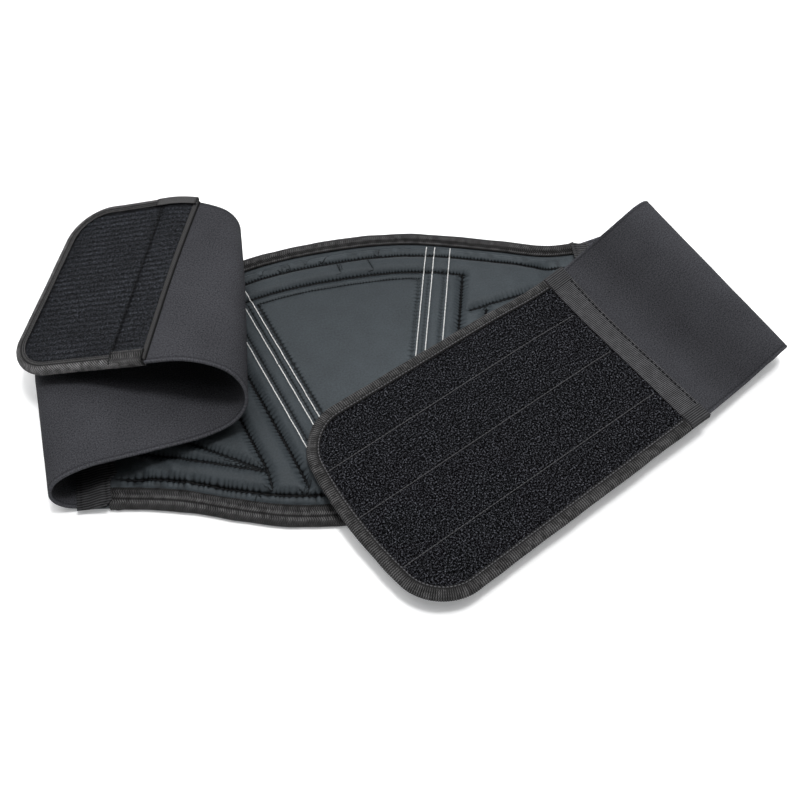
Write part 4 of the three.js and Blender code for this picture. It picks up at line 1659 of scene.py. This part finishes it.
@dataclass
class LeftWing:
    """Left wing with its hook patch, binding and stitching."""

    finishes: Finishes
    tip: Tip = Tip(243.6, 337.6, half=69.8, radius=28.0, slant=0.07)
    tip_margin: float = 1.3
    patch_base: float = SHEET / 2 + 0.5
    patch_thick: float = 1.2
    line_at: float = 23.0
    over_binding: float = 0.95
    near_end: float = 23.0
    far_end: float = 27.0
    press: float = 6.0
    crest_shift: float = 2.4
    line_sewing: Sewing = Sewing(0.75, 3.0, 0.95)
    hem_sewing: Sewing = Sewing(0.28, 2.6)
    selvage_half: float = 67.5
    selvage_width: float = 3.6
    selvage_base: float = SHEET / 2 + 0.2
    rows: int = 246
    columns: int = 40
    rib_pitch: float = 4.1
    strip: FoldedStrip = field(default_factory=lambda: FoldedStrip((-176, 30.5, 3.5), 176, (
        Fold(11.3), Fold(35, 159.5, 10, 5), Fold(44, 31, 5, 20), Fold(49.8),
        Fold(23, -25, 20, 18), Fold(49, -144, 18, 12), Fold(35, -38, 12, 14.5))))

    def pressed(self, s: Array, t: Array, h: Array) -> Array:
        """Points of the sheet, with the far ends of the first bend and of the crest moved.

        Args:
            s: distance along the centre line.
            t: distance across it.
            h: height off the sheet's middle.

        Returns:
            One point a row.
        """
        points = self.strip.place(s, t, h)
        early = 1 - ease(np.asarray(s, float).ravel(), 90, 120)
        push = self.press * ease(points[:, 1], 50, 95) * ease(-points[:, 0], 180, 206)
        points[:, 0] += early * push
        points[:, 0] -= self.crest_shift * ease(points[:, 1], 70, 165) * ease(points[:, 0], -115, -78)
        return points

    def sheet(self) -> Piece:
        """Builds the folded sheet.

        Returns:
            Its piece.
        """
        tip = self.tip.shrunk(self.tip_margin)
        at = np.linspace(0, 1, self.rows)[:, None] * tip.stop
        half = tip.width(at)
        t = half * across_sheet(self.columns)[None, ::-1]
        s, _ = tip.flat(np.broadcast_to(at, t.shape), t)
        s = s + self.strip.start_at(t) * np.clip(1 - at / 11, 0, 1)
        soft = 0.12 * drift(s / 17.0, t / 17.0, 51)
        groove = hem_groove(half - np.abs(t))
        heights = SHEET / 2 + soft - groove, -SHEET / 2 + soft + groove
        side = t / WING_HALF
        turning = ease(s, 205, 228)
        # Painted light over the crest: lighter on one side across its width, that side swapping where the
        # crest turns
        crest = (1.16 - 0.15 * side) * (1 - turning) + (1.14 + 0.12 * side) * turning
        tone = sheet_tone(t, np.broadcast_to(half, t.shape)) * (1.1 + (crest - 1.1) * ease(s, 165, 190))
        shell = laid(self.pressed, s, t, heights, tone, 3, 0.35)
        piece = shell.piece("wing_left_cloth", self.finishes.wing, "wing_knit")
        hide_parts("wing_left")
        return piece

    def patch(self) -> None:
        """Builds the ribbed hook patch."""
        tip = self.tip.shrunk(self.tip_margin)
        at = np.linspace(tip.start + 2.2, tip.stop, 92)[:, None]
        half = tip.width(at)
        t = half * np.linspace(1, -1, 180)[None, :]
        s, _ = tip.flat(np.broadcast_to(at, t.shape), t)
        wander = t / self.rib_pitch + 0.09 * drift(s / 7.0, t / 9.0, 61) + 0.05 * drift(s / 2.0, t / 2.0, 63)
        rib = wave(wander)
        hooks = drift(s / 0.8, t / 0.8, 62)
        line = bell(s - tip.start - self.line_at, 1.5)
        # Painted shadow in a band just inside the binding's edge
        binding_shadow = bell(np.minimum(half - np.abs(t), tip.stop - at) - 5.8, 1.1)
        high = 0.8 + 0.5 * rib + 0.16 * hooks - 0.35 * line
        patchiness = 0.55 + 0.45 * drift(s / 14.0, t / 14.0, 64)
        # Painted light on the rib crests, stronger in random patches
        tone = (0.42 + 0.3 * (1 - patchiness) + 1.3 * patchiness * rib**2) * (1 + 0.6 * hooks)
        # Painted shade in the sewn line's groove, and the painted shadow inside the binding
        tone = tone * (1 - 0.7 * line) * (1 - 0.6 * binding_shadow)
        shell = laid(self.strip.place, s, t, (self.patch_base + high, self.patch_base), tone, 2, 0.1)
        piece = shell.piece("hook_patch_cloth", self.finishes.hook, "hook_fabric")
        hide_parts("hook_patch")

    def selvage(self) -> Piece:
        """Builds the folded edge along the patch's base.

        Returns:
            Its piece.
        """
        u = np.linspace(0, 1, 16)[None, :]
        u, t = np.broadcast_arrays(u, np.linspace(self.selvage_half, -self.selvage_half, 180)[:, None])
        s = self.tip.start - 1.4 + self.selvage_width * u
        crown = ease(u, 0.1, 0.3) * (1 - ease(u, 0.92, 1.0))
        ripple = 0.08 * drift(t / 3.0, s / 3.0, 71)
        heights = SHEET / 2 + 0.55 + 0.95 * crown + ripple, self.selvage_base
        # Painted shade along both sides of the fold, where it meets the cloth, and full tone on its raised
        # middle
        shell = laid(self.strip.place, s, t, heights, 0.15 + 1.0 * crown, 1, 0.1)
        return shell.piece("hook_selvage", self.finishes.binding, "binding_tape")

    def binding(self) -> list[Piece]:
        """Folds the twill binding round the tip, with a doubled end on each side.

        Returns:
            The binding and its two ends.
        """
        high, low = self.patch_base + self.patch_thick + GAP, -SHEET / 2 - GAP
        path = self.tip.path(self.tip.start)
        tape = FoldedTape(
            path, self.strip.place, 6.8, low, high, 0.85, Ribs(Weave.TWILL, 1.8, 0.26), HOOK_BANDS,
            seed=3, across=17, nose=20)
        made = [tape.shell().piece("hook_binding_tape", self.finishes.binding, "binding_tape")]
        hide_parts("hook_binding")
        points, along = spaced(path, 0.5)
        near, far = along < self.near_end, along > along[-1] - self.far_end
        for name, part, width, bands in (("near", near, 8.6, BOX_BANDS), ("far", far, 7.6, SMOOTH_BANDS)):
            double = FoldedTape(
                points[part], self.strip.place, width, low - self.over_binding, high + self.over_binding,
                0.45, Ribs(Weave.KNIT, 1.6, 0.25), bands, step=0.34, ripple=0.3, lumps=0.3, seed=9, across=34,
                end_line=0.7)
            shell = double.shell()
            made.append(shell.piece(f"hook_binding_end_{name}", self.finishes.binding, "binding_tape"))
        return made

    def stitching(self) -> Piece:
        """Sews the line across the patch and the line along the binding.

        Returns:
            Both threads as one piece.
        """
        t = np.linspace(62, -62, 160)
        share = self.line_at / (self.tip.stop - self.tip.start)
        across = np.column_stack([self.tip.start + self.line_at + self.tip.slant * t * share, t])
        upper = self.patch_base + self.patch_thick
        hem = self.tip.path(self.tip.start + 1.0, 5.9)
        lines = [
            self.line_sewing.on(self.strip.place, across, upper),
            self.hem_sewing.on(self.strip.place, hem, upper + GAP + self.over_binding)]
        return joined(lines).piece("hook_thread", self.finishes.dark, "binding_tape")

    def build(self) -> None:
        """Makes every piece of the wing."""
        sheet = self.sheet()
        self.patch()
        extra = [self.selvage(), *self.binding(), self.stitching()]


@dataclass
class RightWing:
    """Right wing with the loop panel, its binding, the tape over the join, and stitching."""

    finishes: Finishes
    join: float = 173.0
    skew: float = math.radians(4.7)
    tip: Tip = Tip(15.6, 215.0, half=70.6, radius=30.0, flare=4.0, bow=7.5)
    tip_margin: float = 1.3
    tape_width: float = 15.2
    tape_half: float = 70.4
    thick: float = 2.4
    rows: int = 132
    columns: int = 40
    clear: float = 0.45
    row_sewing: Sewing = Sewing(0.42, 2.6, 0.5)
    hem_sewing: Sewing = Sewing(0.5, 2.3, 0.8)
    tape_sewing: Sewing = Sewing(0.55, 3.5, 0.95)
    tape_line: float = 1.6
    tape_top: float = 2.25
    tape_low: float = 1.5
    over_binding: float = 0.95
    sewn_rows: tuple[float, ...] = (38.0, 2.0, -38.0)
    shading: tuple[tuple[float, ...], ...] = (
        (80, 92, 102, 112, 125, 140, 152, 163, 175), (1.3, 1.3, 1.12, 0.94, 0.81, 0.76, 0.86, 1.02, 1.04))
    strip: FoldedStrip = field(default_factory=lambda: FoldedStrip((177, 30, 3.5), 11.5, (
        Fold(58), Fold(49, 192.5, 15, 2.5), Fold(44), Fold(28, -18.5, -24, -24), Fold(16),
        Fold(28, 5.5, -19, -19))))

    def loop_place(self, u: Array, v: Array, h: Array) -> Array:
        """Points of the askew loop panel, lifted upwards off its middle.

        Args:
            u: distance along the panel from the join.
            v: distance across it.
            h: height off its middle.

        Returns:
            One point a row.
        """
        u, v = np.asarray(u, float), np.asarray(v, float)
        s = self.join + u * math.cos(self.skew) - v * math.sin(self.skew)
        t = u * math.sin(self.skew) + v * math.cos(self.skew)
        return self.strip.place(s, t, -np.asarray(h, float))

    def sheet(self) -> Piece:
        """Builds the folded sheet.

        Returns:
            Its piece.
        """
        share = np.linspace(0, 1, self.rows)[:, None]
        t = WING_HALF * across_sheet(self.columns)[None, :] + np.zeros((self.rows, 1))
        t = t - 2.2 * ease(share, 0.3, 0.38) * (1 - ease(share, 0.44, 0.52)) * (t < 1 - WING_HALF)
        start = self.strip.start_at(t)
        meet = (self.tape_width - GAP) / 2
        stop = self.join + meet * math.cos(self.skew) - t * math.sin(self.skew)
        s = start + (stop - start) * share
        soft = 0.12 * drift(s / 17.0, t / 17.0, 81)
        groove = hem_groove(WING_HALF - np.abs(t))
        heights = SHEET / 2 + soft - groove, -SHEET / 2 + soft + groove
        tone = sheet_tone(t, np.full(t.shape, WING_HALF)) * np.interp(s, *self.shading)
        shell = laid(self.strip.place, s, t, heights, tone, 3, 0.35)
        piece = shell.piece("wing_right_cloth", self.finishes.wing, "wing_knit")
        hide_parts("wing_right")
        return piece

    def panel(self) -> Piece:
        """Builds the loop panel with its sewn rows.

        Returns:
            Its piece.
        """
        tip = self.tip.shrunk(self.tip_margin)
        start = (self.tape_width + GAP) / 2
        at = np.linspace(start, tip.stop, 112)[:, None]
        half = tip.width(at)
        v = half * np.linspace(1, -1, 164)[None, :]
        u, _ = tip.flat(np.broadcast_to(at, v.shape), v)
        tufts = 0.22 * drift(u / 1.1, v / 1.1, 91) + 0.16 * drift(u / 2.6, v / 2.6, 92)
        groove = np.zeros(v.shape)
        for row in self.sewn_rows:
            groove += bell(v - row, 0.8)
        heights = self.thick / 2 + tufts - 0.55 * groove, -self.thick / 2
        # Lighter where the tufts stand higher, and painted shade in the sewn rows' grooves
        tone = np.clip(0.85 + 0.9 * tufts, 0.4, 1.4) * (1 - 0.35 * np.clip(groove, 0, 1))
        shell = laid(self.loop_place, u, v, heights, tone, 1, 0.1)
        piece = shell.piece("loop_panel_cloth", self.finishes.loop, "loop_pile")
        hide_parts("loop_panel")
        return piece

    def binding(self) -> Piece:
        """Folds the ribbed binding round three sides of the loop panel.

        Returns:
            Its piece.
        """
        held = self.thick / 2 + self.clear
        tape = FoldedTape(
            self.tip.path(self.tip.start), self.loop_place, 7.9, -held, held, 0.8,
            Ribs(Weave.ACROSS, 1.45, 0.34), LOOP_BANDS, ripple=0.2, seed=4)
        piece = tape.shell().piece("loop_binding_tape", self.finishes.binding, "binding_tape")
        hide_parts("loop_binding")
        return piece

    def join_tape(self) -> list[Piece]:
        """Lays the ribbed tape over the join, with its ends folded round the edges.

        Returns:
            The tape and its two ends.
        """
        ribs = Ribs(Weave.ALONG, 1.12, 0.26)
        u = np.concatenate([np.linspace(0, 3.2, 9), np.linspace(4.6, self.tape_width, 8)])[None, :]
        v = np.linspace(-self.tape_half, self.tape_half, 560)[:, None]
        u, v = np.broadcast_arrays(u, v)
        lift = ribs.lift(u, v)
        pinch = 0.4 * bell(u - self.tape_line, 0.55)
        # Painted light on the rib crests and painted shade in the pinched sewn line
        tone = 2.9 * (lift / ribs.height) ** 2 - 0.2 * pinch
        shell = laid(self.loop_place, u, v, (self.tape_top + lift - pinch, self.tape_low), tone, 2, 0.2)
        made = [shell.piece("loop_joint_tape_cloth", self.finishes.tape, "ribbed_tape")]
        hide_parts("loop_joint_tape")
        edge = self.tape_half + 0.4
        for name, start, stop, side in (("far", 0.4, 15.0, edge), ("near", 15.0, 0.4, -edge)):
            cap = FoldedTape(
                straight(start, side, stop, side, 20), self.loop_place, 11.5, -1.6, 2.62, 0.3,
                Ribs(Weave.ALONG, 1.4, 0.22), step=0.4, ripple=0.1, seed=6, across=44)
            made.append(cap.shell().piece(f"loop_joint_end_{name}", self.finishes.tape, "ribbed_tape"))
        return made

    def stitching(self) -> list[Piece]:
        """Sews the rows on the pile, the line inside the binding, and the line on the tape.

        Returns:
            The grey threads and the dark one.
        """
        grey = []
        for row in self.sewn_rows:
            path = straight(16.5, row, self.tip.stop + 4.0, row, 2)
            grey.append(self.row_sewing.on(self.loop_place, path, self.thick / 2 - 0.35))
        hem = self.tip.path(self.tip.start + 1, 6.9)
        edging = self.hem_sewing.on(self.loop_place, hem, self.thick / 2 + self.clear + self.over_binding)
        edging.tone = edging.tone * 1.5
        grey.append(edging)
        line = straight(self.tape_line, -60.0, self.tape_line, 60.0, 2)
        dark = self.tape_sewing.on(self.loop_place, line, 2.5)
        return [joined(grey).piece("loop_thread", self.finishes.grey, "loop_pile"),
                dark.piece("loop_tape_thread", self.finishes.dark, "ribbed_tape")]

    def build(self) -> None:
        """Makes every piece of the wing."""
        sheet, panel = self.sheet(), self.panel()
        tapes = self.join_tape()
        edging = [self.binding(), *self.stitching()]


# Stage


class Lamp(NamedTuple):
    """One soft round light: its place and its width in metres, and its power in watts."""

    name: str
    spot: tuple[float, float, float]
    size: float
    power: float


@dataclass(frozen=True)
class Stage:
    """Camera, floor and soft studio light."""

    azimuth: float = -11.8
    elevation: float = 57.9
    distance: float = 0.680
    target: tuple[float, float, float] = (0.02407, 0.0, 0.0)
    lens: float = 47.25
    sensor: float = 36.0
    floor_size: float = 2.6
    floor_drop: float = 0.0003
    floor_colour: tuple[float, ...] = (0.93, 0.93, 0.93, 1.0)
    floor_glow: tuple[float, ...] = (0.97, 0.985, 1.0, 1.0)
    floor_glow_strength: float = 0.24
    lamps: tuple[Lamp, ...] = (
        Lamp("key", (0.16, -0.06, 1.65), 0.3, 14.0), Lamp("ceiling", (0.05, 0.34, 1.6), 2.1, 24.0),
        Lamp("rear", (-0.1, 0.9, 1.3), 0.9, 3.0))
    sky_strength: float = 0.1
    horizon_strength: float = 1.0
    horizon: tuple[float, float] = (0.1, 0.2)

    def camera(self) -> None:
        """Sets the camera at the photograph's angle."""
        data = bpy.data.cameras.new("camera")
        data.lens, data.sensor_width = self.lens, self.sensor
        data.clip_start, data.clip_end = 0.01, 20.0
        camera = bpy.data.objects.new("camera", data)
        bpy.context.scene.collection.objects.link(camera)
        a, e = math.radians(self.azimuth), math.radians(self.elevation)
        back = Vector((math.sin(a) * math.cos(e), -math.cos(a) * math.cos(e), math.sin(e)))
        camera.rotation_mode = "QUATERNION"
        camera.location = Vector(self.target) + back * self.distance
        camera.rotation_quaternion = (-back).to_track_quat("-Z", "Y")
        bpy.context.scene.camera = camera

    def floor(self) -> None:
        """Lays the pale floor."""
        half = self.floor_size / 2
        mesh = bpy.data.meshes.new("floor")
        corners = ((-half, -half), (half, -half), (half, half), (-half, half))
        mesh.from_pydata([(x, y, -self.floor_drop) for x, y in corners], [], [(0, 1, 2, 3)])
        material = bpy.data.materials.new("floor_white")
        material.use_nodes = True
        shader = material.node_tree.nodes["Principled BSDF"]
        for socket, value in (
                ("Base Color", self.floor_colour), ("Roughness", 0.9), ("Specular IOR Level", 0.1),
                ("Emission Color", self.floor_glow), ("Emission Strength", self.floor_glow_strength)):
            shader.inputs[socket].default_value = value
        mesh.materials.append(material)
        floor = bpy.data.objects.new("floor", mesh)
        bpy.context.scene.collection.objects.link(floor)

    def hang(self, lamp: Lamp) -> None:
        """Hangs one soft light that looks at the belt.

        Args:
            lamp: its name, place, size and power.
        """
        data = bpy.data.lights.new(lamp.name, "AREA")
        data.shape, data.size, data.energy = "DISK", lamp.size, lamp.power
        light = bpy.data.objects.new(lamp.name, data)
        light.location = Vector(lamp.spot)
        light.rotation_mode = "QUATERNION"
        light.rotation_quaternion = (Vector(self.target) - light.location).to_track_quat("-Z", "Y")
        bpy.context.scene.collection.objects.link(light)

    def sky(self) -> None:
        """Makes a dim world with a pale horizon, so that low views keep a pale background."""
        world = bpy.data.worlds.new("studio")
        world.use_nodes = True
        g = Graph.of(world.node_tree)
        up = g.three(g.node("ShaderNodeTexCoord", out="Generated"))[2]
        change = self.sky_strength - self.horizon_strength
        strength = self.horizon_strength + g.spread(up, *self.horizon) * change
        shader = world.node_tree.nodes["Background"]
        shader.inputs["Color"].default_value = (1.0, 1.0, 1.0, 1.0)
        g.feed(shader.inputs["Strength"], strength)
        bpy.context.scene.world = world

    def build(self) -> None:
        """Sets up the whole stage."""
        self.camera()
        self.floor()
        for lamp in self.lamps:
            self.hang(lamp)
        self.sky()
        bpy.context.scene.view_settings.view_transform = "Standard"


def main() -> None:
    """Builds the stage and the belt."""
    logging.basicConfig(level=logging.INFO, format="%(name)s %(message)s")
    Stage().build()
    finishes = Finishes()
    BackPanel(finishes).build()
    LeftWing(finishes).build()
    RightWing(finishes).build()


if __name__ == "__main__":
    main()
